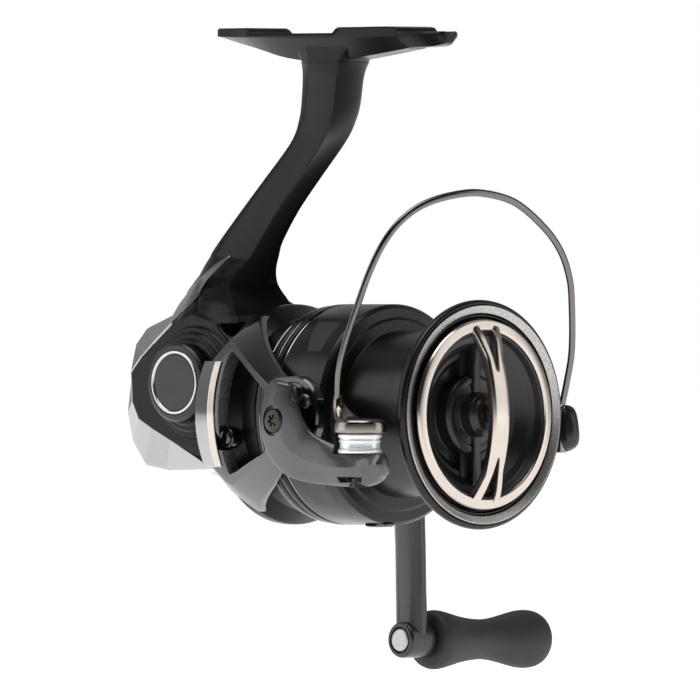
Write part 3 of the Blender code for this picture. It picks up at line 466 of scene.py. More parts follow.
# The gearbox in side view (x, z): across its middle, on its near cheek and at the side cover.
MID_OUTLINE = [
    (15, -9.5), (8, -11.1), (-12, -11.1), (-17.5, -10), (-22, -5.5), (-25.3, 0.4),
    (-24.4, 9.2), (-22.3, 14.5), (-20.1, 17.6), (-13, 20.2), (-9.8, 24), (-4, 29),
    (5.6, 24.4), (9.6, 19.4), (15, 15.5),
]
NEAR_OUTLINE = [
    (11, -8), (5, -9.9), (-6, -6.1), (-12.4, -3.1), (-16.6, -1.1), (-18.5, 2.6),
    (-18.9, 8.8), (-16, 11.8), (-12.6, 14.5), (-7.4, 18.5), (-4.6, 20), (-0.5, 20.8),
    (5.8, 19.2), (8.2, 16.8), (11.5, 13),
]
FAR_OUTLINE = [
    (14, -7), (8, -8.8), (-8, -9.4), (-14.2, -8.8), (-19.2, -5.6), (-21.8, 1.2),
    (-21.4, 8.8), (-19, 13.2), (-15.8, 15.6), (-10.4, 17.6), (-8, 20.6), (-4, 24),
    (5, 21), (9.5, 17), (13.6, 13),
]

# Stem rows: height, centre, half length, half width, how hollow its front face is, and how far
# forward the near front corner reaches.
STEM_ROWS = [
    (19, -0.6, 13.2, 9, 0.3, 0.96), (23.4, -1.5, 11.5, 8, 0.5, 0.90),
    (27.1, -2.1, 9.6, 6.8, 0.8, 0.76), (30.2, -0.7, 8.4, 5.6, 1, 0.78),
    (33.5, 1.2, 7.6, 5.1, 1, 0.90), (36.5, 3.2, 7, 4.7, 1, 0.97), (42.8, 8.7, 6.3, 4.3, 1, 0.99),
    (49.1, 14.9, 6.1, 4.1, 0.95, 0.98), (55.4, 21.2, 5.9, 4, 0.7, 0.93),
    (58.6, 23.8, 5.9, 4, 0.35, 0.88), (61.7, 25.3, 6.1, 4.1, 0.1, 0.84),
    (64.9, 26.2, 6.3, 4.2, 0, 0.82), (71.2, 27, 6.6, 4.4, 0, 0.82), (74.5, 27.6, 7.8, 5, 0, 0.84),
    (77.8, 28.4, 11, 5.8, 0, 0.86),
]
# How far the stem's near flank stands out as it spreads into the gearbox: (height, distance).
FLARE = [(19, 13.45), (21, 12.9), (23.4, 11.8), (25.8, 10.2), (29, 7.9), (33, 5.3)]
STEM_PROUD = 0.12  # the stem's skin over the casting


def grown(outline, middle, factor):
    """The outline scaled about its middle."""
    mx, mz = middle
    return [(mx + (x - mx) * factor, mz + (z - mz) * factor) for x, z in outline]


def between(low, high, share):
    """The outline this share of the way from the first to the second."""
    return [(a + (c - a) * share, b + (d - b) * share) for (a, b), (c, d) in zip(low, high)]


def near_reach(z, half_y):
    """How far the stem's near flank stands out at this height."""
    if z >= FLARE[-1][0]:
        return half_y
    for (low, wide), (high, narrow) in zip(FLARE, FLARE[1:]):
        if z <= high:
            return wide + (narrow - wide) * max(z - low, 0) / (high - low)
    return half_y


def stem_loop(z, x, half_x, half_y, hollow, near):
    """A level slice of the stem: flat flanks, a round back, and a front hollowed between a sharp
    near corner and a softer far one. Low down, the back's near side is cut off slantwise."""
    far = 0.72 + 0.10 * (1 - hollow)
    slant = min(max((34.0 - z) / 5, 0), 1)
    plain = [(-1, 0), (-0.94, -0.5), (-0.74, -0.86), (-0.38, -0.99), (0.2, -1)]
    sliced = [(-1, 0), (-0.95, -0.24), (-0.80, -0.50), (-0.56, -0.72), (0.08, -1)]
    shape = between(plain, sliced, slant) + [(near - 0.14, -0.99)]
    for k in range(11):
        t = k / 10
        bow = (0.13 * (1 - hollow) - 0.30 * hollow) * 4 * t * (1 - t)
        shape.append((near + (far - near) * t + bow, -0.96 + 1.84 * t))
    shape += [(far - 0.10, 0.99), (0.2, 1), (-0.38, 0.99), (-0.74, 0.86), (-0.94, 0.5)]
    reach = near_reach(z, half_y)
    return [(x + half_x * u, (reach if v < 0 else half_y) * v, z) for u, v in shape]


def foot_section(x, half, top, rim, depth, dip):
    """One slice across the foot: a dished top, thin rims and a keel below."""
    return [
        (x, -half, top - 0.4), (x, -half + 0.5, top), (x, -half * 0.62, top),
        (x, -half * 0.34, top - dip), (x, half * 0.34, top - dip), (x, half * 0.62, top),
        (x, half - 0.5, top), (x, half, top - 0.4), (x, half, top - rim),
        (x, half * 0.45, top - depth), (x, -half * 0.45, top - depth), (x, -half, top - rim),
    ]


# The guard's run round the back of the gearbox: outer ridge (x, z), its reach to the near and the
# far side, its drop at the far side, and the line (x, z) where it meets the near cheek.
GUARD_RUN = [
    ((1.2, -11.3), 9, 7, 0.4, (2.2, -10.2)), ((-12, -11.3), 10.2, 10.2, 1.6, (-7.6, -5.5)),
    ((-17.6, -10.2), 11, 11, 2.2, (-12.8, -3.1)), ((-22.3, -5.6), 9.8, 10.6, 2, (-16.9, -1)),
    ((-25.7, 0.4), 7.9, 8.4, 0.3, (-18.8, 2.6)), ((-24.8, 9.2), 7.4, 8.4, 0.3, (-19.2, 9)),
    ((-22.7, 14.7), 8.4, 10.4, 1.8, (-16.2, 12.1)), ((-20.3, 18), 7.6, 10.8, 2.2, (-12.8, 14.9)),
    ((-13, 20.9), 7, 9.4, 1.2, (-7.6, 18.9)), ((-9.6, 24.6), 5.9, 6.6, 0.8, (-4.4, 21.3)),
]
GUARD_THICK = 0.9


def guard_loops():
    """Slices along the guard: outside from the near cheek round to the far side, then inside."""
    loops = []
    last = len(GUARD_RUN) - 1
    for i, ((x, z), near, far, drop, (edge_x, edge_z)) in enumerate(GUARD_RUN):
        (ax, az), (bx, bz) = GUARD_RUN[max(i - 1, 0)][0], GUARD_RUN[min(i + 1, last)][0]
        run = Vector((bx - ax, 0, bz - az)).normalized()
        edge_y = CHEEK_Y - 0.05 + max(edge_z - 19, 0) * 0.5
        ridge, edge = Vector((x, -near, z)), Vector((edge_x, edge_y, edge_z))
        back = Vector((run.z, 0, -run.x))
        side = run.cross((edge - ridge).normalized()).normalized()
        side = -side if side.y > 0 else side
        corner = (back + side).normalized()
        turn, end = Vector((x, far * 0.7, z)), Vector((x, far, z))
        outer = [edge, ridge, turn, end - back * drop]
        inner = [
            end - back * (GUARD_THICK + drop), turn - back * GUARD_THICK,
            ridge - corner * GUARD_THICK, edge - side * GUARD_THICK,
        ]
        loops.append([tuple(p) for p in outer + inner])
    return loops


def make_foot(name, proud, finish):
    """The foot, this much proud of its true size all round."""
    length = 65.2
    rear, front = -HOME.x - length / 2, -HOME.x + length / 2
    top = FOOT_TOP + proud / 2
    rows = [
        (rear, 1.6, top - 0.4, 0.7, 0.8, 0), (rear + 0.7, 3.2, top, 1.5, 1.7, 0),
        (rear + 2.4, 4.8, top, 1.7, 2.3, 0), (8, 6.4, top, 1.9, 4.3, 0), (17, 7, top, 2, 6.3, 0),
        (28.7, 7, top, 2.1, 7.2, 0), (40, 7, top, 2.1, 6, 0), (50.6, 6.1, top, 2, 4.6, 0),
        (52, 5.9, top - 1, 1.2, 3.3, 0.01), (front - 3.4, 4.9, top - 1, 1.2, 3.1, 1.2),
        (front - 0.9, 3.2, top - 1, 1.1, 2.7, 1.3), (front, 1.8, top - 1, 1, 2.2, 0.9),
    ]
    rows = [
        (x, half + proud, high, rim + proud, depth + proud, dip)
        for x, half, high, rim, depth, dip in rows
    ]
    foot = loft(name, [foot_section(*row) for row in curve_through(rows, 4)], finish, angle=30)
    notch = prism("notch", [(7.4, 81.3), (8.9, 79.8), (33.8, 79.8), (35.4, 81.3)], -12, 12)
    return cut(foot, notch)


def make_body():
    """The hollow casting of gearbox, stem and foot, with clean skins over the stem and foot."""
    barrel = [(0.965, -8), (0.985, 0), (0.975, 8)]
    far = between(MID_OUTLINE, FAR_OUTLINE, 0.55)
    loops = [at_y(grown(MID_OUTLINE, BODY_MIDDLE, factor), y) for factor, y in barrel]
    loops = [at_y(NEAR_OUTLINE, CHEEK_Y), *loops, at_y(far, COVER_SEAT)]
    housing = loft("housing", loops, None)
    stem = loft("stem", [stem_loop(*row) for row in curve_through(STEM_ROWS, 5)], None)
    foot = make_foot("foot", 0, None)
    nose = lathe(
        "nose",
        [(9.4, 0), (9.4, 16.6), (10.4, 17.6), (14.5, 17.6), (16.6, 16.6), (17.2, 13),
         (26.6, 12.6), (26.6, 0)],
        None, steps=64,
    )
    collar = lathe(
        "collar", [(-12.9, 0), (-12.9, 12.3), (-8, 13), (-8, 0)], None, "Y", GEAR_AXIS, 64
    )
    body = cast("body_shell", [housing, stem, foot, nose, collar], CELL, 5, None)
    cut(
        body,
        prism("cavity", [
            (14, -9), (-8.5, -9), (-15, -5.6), (-19, 0.6), (-19.4, 8.8), (-17.2, 13),
            (-11, 16.4), (-5.5, 21), (5, 21), (10, 18), (14, 13.5),
        ], -8.8, -2.2),
        prism("slider_room", [
            (14, -9), (-10.5, -9), (-18.3, -6.5), (-20.5, 0.6), (-20.2, 8.8), (-18, 13.2),
            (-11.3, 16.6), (-5.5, 21.3), (5, 21.3), (10, 18.2), (14, 13.5),
        ], -2.3, 13),
        gear_rod("gear_room", -8.9, 0.2, 15.9),
        gear_rod("bearing_seat", -13.4, -8, 7.1),
        gear_rod("shaft_hole", -17, -8, 4),
        rod("pinion_seat", 13, 20.6, 7.4),
        rod("clutch_seat", 20.1, 27, 11.4),
    )
    make_horn(body)
    fit(dress(body, "body", 40), "frame", "body_frame")
    rows = [row for row in curve_through(STEM_ROWS, 8) if 20.5 < row[0] < 74]
    skin = [
        stem_loop(z, x, half_x + STEM_PROUD, half_y + STEM_PROUD, hollow, near)
        for z, x, half_x, half_y, hollow, near in rows
    ]
    flanks = loft("stem_skin", skin, "body", angle=38)
    sides = len(skin[0])
    # The channel's faces take the darker paint: painted shade in the stem's hollow front.
    paint_faces(flanks, "channel_shade", lambda face: 6 <= face.index % sides <= 14)
    fit(flanks, "frame", "body_frame")
    fit(make_foot("foot_skin", 0.06, "body"), "frame", "body_frame")
    ring = lathe(
        "boss_rings",
        [(-16.6, 4), (-16.6, 8.7), (-16.2, 9.1), (-15.7, 9.2), (-15.6, 10.1), (-15.1, 10.5),
         (-14.6, 10.6), (-14.5, 11.5), (-13.4, 12), (-12.6, 12.1), (-12.6, 7.3), (-13.5, 7.3),
         (-13.5, 4)],
        "body", "Y", GEAR_AXIS, soften=0.22,
    )
    fit(ring, "frame", "body_frame")


def make_horn(body):
    """The bright strip that runs from the guard up the stem's near flank."""
    tree = BVHTree.FromObject(body, bpy.context.evaluated_depsgraph_get())
    upper = [(-12.5, -7, 22), (-7.8, -7, 26), (-3.1, -6, 29.65), (1.8, -5.2, 33.1)]
    lower = [(-6.8, -13.2, 18.9), (-2.3, -11.5, 23.6), (-0.9, -8.6, 28.4), (2.6, -5.2, 32.9)]
    loops = []
    for top, bottom in zip(curve_through(upper, 10), curve_through(lower, 10)):
        outer, inner = [], []
        for k in range(7):
            place, normal, _, _ = tree.find_nearest((top.lerp(bottom, k / 6) + HOME) * MM)
            outer.append(place / MM - HOME + normal * 0.45)
            inner.append(place / MM - HOME - normal * 0.7)
        loops.append([tuple(p) for p in outer + inner[::-1]])
    horn = loft("guard_horn", loops, "gunmetal", angle=30)
    fit(dress(horn, "gunmetal", 12), "frame", "rear_guard")


def make_guard():
    guard = loft("rear_guard_skin", guard_loops(), "gunmetal", angle=15)
    fit(dress(bevelled(guard, 0.12, 1, 10), "gunmetal", 7), "frame", "rear_guard")


def make_side_cover():
    inner = between(MID_OUTLINE, FAR_OUTLINE, 0.60)
    outer = grown(FAR_OUTLINE, BODY_MIDDLE, 0.97)
    plate = loft("side_cover_skin", [at_y(outer, 15), at_y(inner, COVER_SEAT + 0.3)], None)
    boss = lathe(
        "cover_boss",
        [(12.4, 0), (12.4, 10.6), (15.6, 10.4), (17.2, 9.4), (17.2, 0)],
        None, "Y", GEAR_AXIS,
    )
    combine(plate, [boss], "UNION")
    cut(
        plate,
        rod("nose_clearance", 9.1, 30, 18.2),
        gear_rod("cover_seat", 11, 16, 7.1),
        gear_rod("cover_hole", 10, 18, 4),
        *[rod("screw_hole", 13.2, 16, 1.9, None, "Y", (x, 0, z), 32) for x, z in COVER_SCREWS],
    )
    fit(dress(bevelled(plate, 0.2, 2, 35), "body", 40), "frame", "side_cover")
    for number, (x, z) in enumerate(COVER_SCREWS, 1):
        screw = cross_screw(f"cover_screw_head_{number}", (x, 13.5, z), 1.6, 1.2, 1, "steel")
        fit(screw, "frame", f"cover_screw_{number}")


def cross_screw(name, centre, radius, height, side, finish, lobes=4, steps=40):
    """A domed screw head facing along y, with a recess of that many narrow slots."""
    head = lathe(
        name,
        [(0, 0), (0, radius * 0.94), (side * height * 0.55, radius),
         (side * height * 0.9, radius * 0.8), (side * height, radius * 0.4), (side * height, 0)],
        finish, "Y", centre, steps, 0.12,
    )
    x, y, z = centre
    low, high = sorted((side * height * 0.45, side * (height + 1)))
    slots = []
    for k in range(lobes // 2):
        turn = pi * k / (lobes // 2) + 0.2
        c, s = cos(turn), sin(turn)
        reach, half = radius * 0.5, radius * 0.11
        outline = [
            (x + a * reach * c - b * half * s, z + a * reach * s + b * half * c)
            for a, b in ((-1, -1), (1, -1), (1, 1), (-1, 1))
        ]
        slots.append(prism("slot", outline, y + low, y + high))
    return dress(cut(head, *slots), finish)


def make_cap():
    """The knurled screw cap over the unused handle socket, with its bright ring."""

    def knurl(along, radius, k):
        return radius - (0.14 if k % 4 < 2 and radius > 8.15 and along > -19.2 else 0)

    cap = lathe(
        "shaft_cap_skin",
        [(-19.85, 0), (-19.85, 5.85), (-19.7, 5.95), (-19.7, 6.75), (-19.95, 6.9), (-19.75, 7.8),
         (-19.2, 8.3), (-17.4, 8.3), (-16.9, 7.9), (-16.9, 3.7), (-13.4, 3.7), (-13.4, 0)],
        "satin", "Y", GEAR_AXIS, steps=288, soften=0.12, ribs=knurl,
    )
    cut(cap, gear_rod("relief", -17.2, -12, 3.75))
    fit(dress(cap, "satin", 30), "frame", "shaft_cap")
    ring = lathe(
        "cap_ring_skin",
        [(-20.1, 6.2), (-20.1, 6.6), (-19.8, 6.75), (-19.8, 5.95)],
        "steel", "Y", GEAR_AXIS, soften=0.12,
    )
    fit(ring, "frame", "cap_ring")


# ---- rotor

ARM_REAR_R, ARM_TAPER, ARM_THICK = 24.8, 0.18, 2.7
PIVOT_HOLE = 2.3
BOSS_PROFILE = [(20.9, 0), (20.9, 2.2), (23.4, 2.15), (23.7, 1.9), (23.3, 1.5), (23.3, 0)]

# Stations round a rotor arm's frame: the outer edge (x, z) and its depth under the cone, the
# ridge (x, z) on the cone, and the window's edge (x, z) with the depth of its wall.
ARM_FRAME = [
    ((12.2, 10.5), 1.2, (13, 10.3), (19, 9.5), 3.8),
    ((15.4, 16), 1.4, (16.4, 14.6), (19, 12.6), 3.8),
    ((17.6, 20.7), 2, (17.4, 16.2), (19.8, 13.2), 3.6),
    ((21.6, 18.4), 2.2, (21.8, 13.9), (23.4, 11.6), 3.2),
    ((29, 13.6), 2.4, (29, 10), (29.2, 8.4), 3.6),
    ((37, 8.8), 2.2, (35.6, 6.6), (34.6, 5.4), 3.2),
    ((44.4, 5.8), 1.2, (42.4, 4.6), (35.8, 2.5), 2.7),
    ((46.8, -1.2), 1.2, (45.2, -1.2), (36.2, -1.5), 2.7),
    ((44.4, -7.4), 1.2, (42.6, -6.6), (35.8, -5), 2.7),
    ((37.4, -11.2), 1.4, (36, -9.2), (34.3, -7.8), 2.7),
    ((30.4, -15.1), 1.5, (28.6, -11.4), (28.4, -9.7), 2.7),
    ((17.8, -20.4), 1.8, (18.6, -14.8), (22, -11.9), 3.2),
    ((14.6, -16), 1.5, (16.6, -14), (19.2, -12.5), 3.8),
    ((12.2, -10.2), 1.2, (13, -10), (19, -9.5), 3.8), ((11.8, 0), 1.2, (12.6, 0), (19, 0), 3.8),
]
REAR_WALL = (0, 1, 12, 13, 14)  # the stations whose window wall is rough


def arm_point(x, z, depth, side):
    """A point of a rotor arm's skin: on the cone of its outer face, or this deep under it."""
    radius = ARM_REAR_R + (x - 12) * ARM_TAPER - depth
    return (x, side * sqrt(max(radius**2 - z**2, 0)), z)


def paint_faces(obj, finish, wanted):
    """Gives the faces for which wanted(face) is true a second finish."""
    obj.data.materials.append(FINISH[finish])
    slot = len(obj.data.materials) - 1
    for face in obj.data.polygons:
        if wanted(face):
            face.material_index = slot


def make_rotor():
    core = lathe(
        "rotor_core",
        [(13.8, 20.8), (13.8, 22.7), (14.3, 23.1), (16.6, 23.1), (17.4, 22.6), (20.5, 20.4),
         (24, 20.3), (24.2, 20), (37, 20), (37, 18), (36.2, 18), (36.2, 3.5), (31.4, 3.5),
         (31.4, 8), (33.4, 8.4), (33.4, 18.2), (18, 18.8)],
        "body", steps=128, soften=0.2, angle=30,
    )
    fit(core, "rotor_group", "rotor")
    for side, word in ((-1, "near"), (1, "far")):
        make_arm(side, word)
        make_arm_cover(side, word)
        make_trim(side, word)


def make_arm(side, word):
    """One rotor arm round its open window, with the small boss and screw inside it."""
    boss_x, boss_z = 18.9, -4.9
    rows = [
        Vector((*outer, depth, *ridge, *inner, wall))
        for outer, depth, ridge, inner, wall in ARM_FRAME
    ]
    loops, rough = [], set()
    parts = 4
    count = len(rows)
    for i, row in enumerate(rows):
        ahead = rows[(i + 1) % count]
        for k in range(parts):
            ox, oz, od, rx, rz, ix, iz, wall = row.lerp(ahead, k / parts)
            if i in REAR_WALL and not (i == 1 and k):
                rough.add(len(loops))
            inner_x = ix - (0.7 if i in REAR_WALL else 0)
            corners = (
                (ox, oz, od), (rx, rz, 0), (ix, iz, 0), (inner_x, iz, wall),
                (ox, oz, max(ARM_THICK, od + 1.2)),
            )
            loops.append([arm_point(*corner, side) for corner in corners])
    arm = loft(f"rotor_arm_{word}", loops, "graphite", closed=True, angle=20)
    paint_faces(arm, "granular", lambda face: face.index // 5 in rough and face.index % 5 == 2)
    strut = range(parts + 1, 6 * parts)
    paint_faces(arm, "gloss", lambda face: face.index // 5 in strut and face.index % 5 == 0)
    bevelled(arm, 0.22, 2, 22)
    cut(
        arm,
        cross_rod("pivot_hole", side, 20, 40, PIVOT_HOLE, BAIL.x, BAIL.z),
        cross_rod("boss_notch", side, 20, 25.6, 2.6, boss_x - 0.2, boss_z),
    )
    fit(dress(arm, None, 32), "rotor_group", "rotor")
    boss = lathe(
        f"window_boss_{word}",
        [(side * out, radius) for out, radius in BOSS_PROFILE],
        "gloss", "Y", (boss_x, 0, boss_z), 48,
    )
    fit(boss, "rotor_group", "rotor")
    place = (boss_x, side * 23.25, boss_z)
    screw = cross_screw(f"window_screw_{word}", place, 1.4, 0.5, side, "gloss")
    fit(screw, "rotor_group", "rotor")


def make_arm_cover(side, word):
    """The black plate in front of the bail's pivot, with its bolt."""
    outline = softened(
        [(36.5, 7.6), (44.5, 8.2), (48.6, 6.4), (51, 2.6), (51, -2.2), (48.4, -6.4), (43.5, -8.6),
         (36.5, -9.2)],
        1.6, 5,
    )
    loops = []
    crown = [(26.8, 1), (28.6, 1), (29, 0.96), (29, 0.86), (28.7, 0.83), (28.7, 0.5)]
    for radius, shrink in crown:
        loop = grown(outline, (42, -0.5), shrink)
        loops.append([(x, side * sqrt(radius**2 - z**2), z) for x, z in loop])
    plate = loft(f"pivot_cover_{word}", loops, "gloss", angle=30)
    cut(plate, cross_rod("pivot_hole", side, 20, 40, PIVOT_HOLE, BAIL.x, BAIL.z))
    fit(dress(plate, "gloss", 30), "rotor_group", "rotor")
    bolt = cross_screw(f"cover_bolt_{word}", (47.2, side * 28.3, 2.8), 1.6, 1.2, side, "graphite")
    fit(bolt, "rotor_group", "rotor")


def make_trim(side, word):
    """The bright band on a rotor arm's rear edge: a broad silver face and a narrow warm one."""
    loops = []
    for i in range(33):
        z = -11.0 + 22.2 * i / 32
        lean = 0.35 * (1 - (z / 11) ** 2)
        corners = (
            (11 - lean, -1.6), (11.3 - lean, 0.15), (16.2, 0.85), (17.7, 0.30),
            (17.7, 0.08), (12.2, 0.08), (11.9 - lean, -1.6),
        )
        loops.append([arm_point(x, z, -over, side) for x, over in corners])
    band = loft(f"trim_band_{word}", loops, "gunmetal", angle=15)
    paint_faces(band, "champagne", lambda face: face.index % 7 == 2 and face.index < 32 * 7)
    band = dress(bevelled(band, 0.1, 1, 15), None, 9)
    fit(band, "rotor_group", f"rotor_trim_{word}")


# ---- bail


def make_bail():
    px, pz = BAIL.x, BAIL.z
    rx, ry, rz = ROLLER
    arm = bar(
        "bail_arm_skin",
        [
            (px + 1.4, -32.5, 6.2, 1.3, 3), (px + 0.9, -32.5, 3, 1.5, 4.5),
            (px + 1.6, -32.5, -1.8, 1.6, 6), (px + 2.9, -32.5, -4.7, 1.7, 6.1),
            (px + 5.8, -32.4, -7.5, 1.8, 5.8), (px + 9.8, -32, -9.2, 2.1, 5),
            (px + 15.4, -31, -10.4, 3.2, 4.3), (rx - 0.9, -29.8, -10.9, 4.3, 4.1),
            (rx + 2.6, ry + 0.2, -10.8, 4.3, 3.9), (rx + 4.9, ry + 0.3, -10.5, 3, 2.6),
        ],
        6, "graphite", sides=56, power=2.8, keel=0.62,
    )
    cut(
        arm,
        cross_rod("screw_well", -1, 32.5, 40, 3.2, px, pz),
        cross_rod("screw_hole", -1, 28, 33, PIVOT_HOLE, px, pz),
        rod("roller_seat", rz - 2.3, rz + 4, 5.6, None, "Z", (rx, ry, 0)),
        box("end_slot", (60.4, -40, -14.1), (67, -30.4, -12.9)),
        rod("screw_path", rz - 12, rz + 2, 1.35, None, "Z", (rx, ry, 0)),
        rod("head_path", rz - 16, rz - 7.1, 2.3, None, "Z", (rx, ry, 0)),
    )
    fit(dress(bevelled(arm, 0.12, 2, 50), "graphite", 20), "bail", "bail_arm")
    roller = lathe(
        "line_roller_skin",
        [(-2.1, 2), (-2.1, 4.5), (-1.7, 4.6), (-1.3, 4.5), (-1.1, 4.2), (0.1, 4.15), (0.3, 4.4),
         (0.6, 4.4), (0.7, 4.2), (1.1, 4.2), (1.2, 4.55), (1.7, 4.6), (1.9, 4.4), (1.9, 2)],
        "roller", "Z", ROLLER, soften=0.12,
    )
    fit(roller, "roller", "line_roller")

    arch = [
        (-29.4, 1.7), (-30.4, 9), (-29.7, 15.5), (-27.9, 23.1), (-26, 30), (-23.4, 35.9),
        (-19.7, 40.5), (-14.3, 43.9), (-7, 45.8), (0.2, 46.2), (9.1, 44.3), (17.4, 39.3),
        (22.7, 34.4), (26, 29), (27.7, 23.5), (29.5, 13.6), (29.4, 6.7), (28.9, 1),
    ]
    lean_y, lean_z, start_x = 0.1427, 0.1987, 61.26
    path = curve_through([(start_x + lean_y * y + lean_z * z, y, z) for y, z in arch], 8)
    wire = swept("bail_wire_skin", path, (0.6, 0.8), "wire", (1, 0, 0), 20, 2)
    cap = lathe(
        "wire_cap",
        [(2.05, 0), (2.05, 5.2), (2.35, 5.5), (4.2, 5.5), (4.75, 5.1), (5.1, 3.8), (5.3, 0)],
        "bronze", "Z", ROLLER, soften=0.25,
    )
    neck = bar(
        "wire_neck",
        [
            (rx + 0.6, ry, rz + 3.6, 4.3, 1.3), (rx - 2.6, ry - 0.1, rz + 4.2, 3.9, 1.4),
            (rx - 4.6, ry - 0.2, rz + 5.6, 2.7, 1.4), (rx - 5.7, ry - 0.3, rz + 7.4, 1.6, 1.2),
            (rx - 6, ry - 0.45, rz + 9.6, 0.85, 0.95),
        ],
        5, "bronze", sides=24,
    )
    cut(cap, rod("lip_clearance", 50, 72, 24.25))
    fit(wire, "bail", "bail_wire")
    fit(cap, "bail", "bail_wire")
    fit(neck, "bail", "bail_wire")

    holder = bar(
        "bail_holder_skin",
        [
            (px - 4, 32.6, pz + 1, 1.4, 3.8), (px, 32.8, pz, 1.7, 5.1),
            (px + 4.6, 32.7, pz - 2.4, 1.7, 4.5), (px + 11, 32, pz - 3.8, 1.8, 3.6),
            (px + 17.2, 31, pz - 3.2, 2, 3.6), (px + 22.3, 30.2, pz - 1.8, 2.4, 4.9),
            (px + 24.5, 30, pz - 1.4, 2.3, 4.6),
        ],
        6, "satin", sides=32, power=3,
    )
    end = path[-1]
    cut(
        holder,
        cross_rod("far_well", 1, 33.6, 40, 3.1, px, pz),
        cross_rod("far_hole", 1, 28, 40, PIVOT_HOLE, px, pz),
        rod("wire_seat", -8.3, 12, 1.4, None, "Z", (end[0], end[1], 0), 32),
    )
    foot = lathe(
        "wire_foot",
        [(-8, 0), (-8, 1.1), (1.6, 1.1), (2.2, 0.7), (2.2, 0)],
        "bronze", "Z", (end[0], end[1], 0), 32,
    )
    fit(foot, "bail", "bail_wire")
    fit(dress(bevelled(holder, 0.12, 2, 50), "satin", 45), "bail", "bail_holder")
    for node, side, head in (("bail_pivot_screw", -1, 32.6), ("bail_holder_screw", 1, 33.5)):
        pin = cross_rod(f"{node}_pin", side, 25.2, head + 0.3, 1.95, px, pz, "steel")
        fit(pin, "rotor_group", node)
        place = (px, side * (head + 0.2), pz)
        top = cross_screw(f"{node}_head", place, 2.6, 0.9, side, "satin", 6)
        fit(top, "rotor_group", node)


# ---- spool and drag


def make_spool():
    spool = lathe(
        "spool_skin",
        [(26, 21.4), (26, 22), (26.4, 22.3), (27.6, 22.3), (27.9, 22.8), (29.4, 22.85),
         (29.6, 22.4), (30.1, 22.4), (30.4, 23.1), (31.6, 23.1), (31.85, 22.55), (32.35, 22.55),
         (32.6, 23.1), (45.4, 23.1), (46.2, 22.3), (46.2, 20.3), (46.7, 19.8), (46.8, 17.4),
         (65.6, 17.4), (66.6, 17.9), (67.6, 19.4), (68.7, 22.4), (69.1, 23.8), (69.8, 24),
         (70.5, 23.9), (70.9, 23.4), (70.9, 23), (70.1, 23), (70.1, 21), (70.4, 20.9),
         (70.4, 20.5), (69.4, 20.4), (68.7, 16.6), (68.2, 16.2), (48.6, 16.2), (48.6, 2.2),
         (44.2, 2.2), (44.2, 6), (45, 6.6), (45, 21.2)],
        "anodised", steps=160, soften=0.22, angle=30,
    )
    fit(spool, "spool_group", "spool")
    ring = lathe(
        "lip_ring_skin",
        [(70.2, 21.15), (70.2, 22.85), (71.3, 22.85), (71.4, 22.7), (70.75, 21.25),
         (70.65, 21.15)],
        "lip", steps=160, soften=0.1,
    )
    fit(ring, "spool_group", "spool_lip_ring")
    # Thin rings on the skirt's rear steps: the edges are real, and their bright chrome finish is a
    # painted highlight along the chamfers.
    for number, (x, radius) in enumerate(((27.85, 22.78), (30.35, 23.06), (32.6, 23.1))):
        line = lathe(
            f"skirt_highlight_line_{number}",
            [(x, radius - 0.3), (x, radius), (x + 0.08, radius + 0.04), (x + 0.2, radius),
             (x + 0.2, radius - 0.3)],
            "gunmetal", steps=160, soften=0,
        )
        fit(line, "spool_group", "spool")
    for turn in range(4):
        loops = []
        for k in range(13):
            angle = radians(90 * turn + 33 + 22 * k / 12)
            aft = 35.2 + 3.0 * (k / 12 if turn % 2 else 1 - k / 12)
            rim = ((aft, 23), (42.2, 23), (42.2, 23.12), (aft, 23.12))
            loops.append([(x, r * cos(angle), r * sin(angle)) for x, r in rim])
        fit(loft(f"skirt_patch_{turn}", loops, "patch"), "spool_group", "spool")
    clip = bar(
        "line_clip_skin",
        [
            (39.8, -2, -23, 1.3, 0.20), (40.6, -2, -23.3, 1.3, 0.22),
            (45, -2, -23.3, 1.3, 0.22), (45.8, -2, -22.9, 1.3, 0.20),
        ],
        5, "graphite", sides=20, power=4,
    )
    fit(clip, "spool_group", "line_clip")


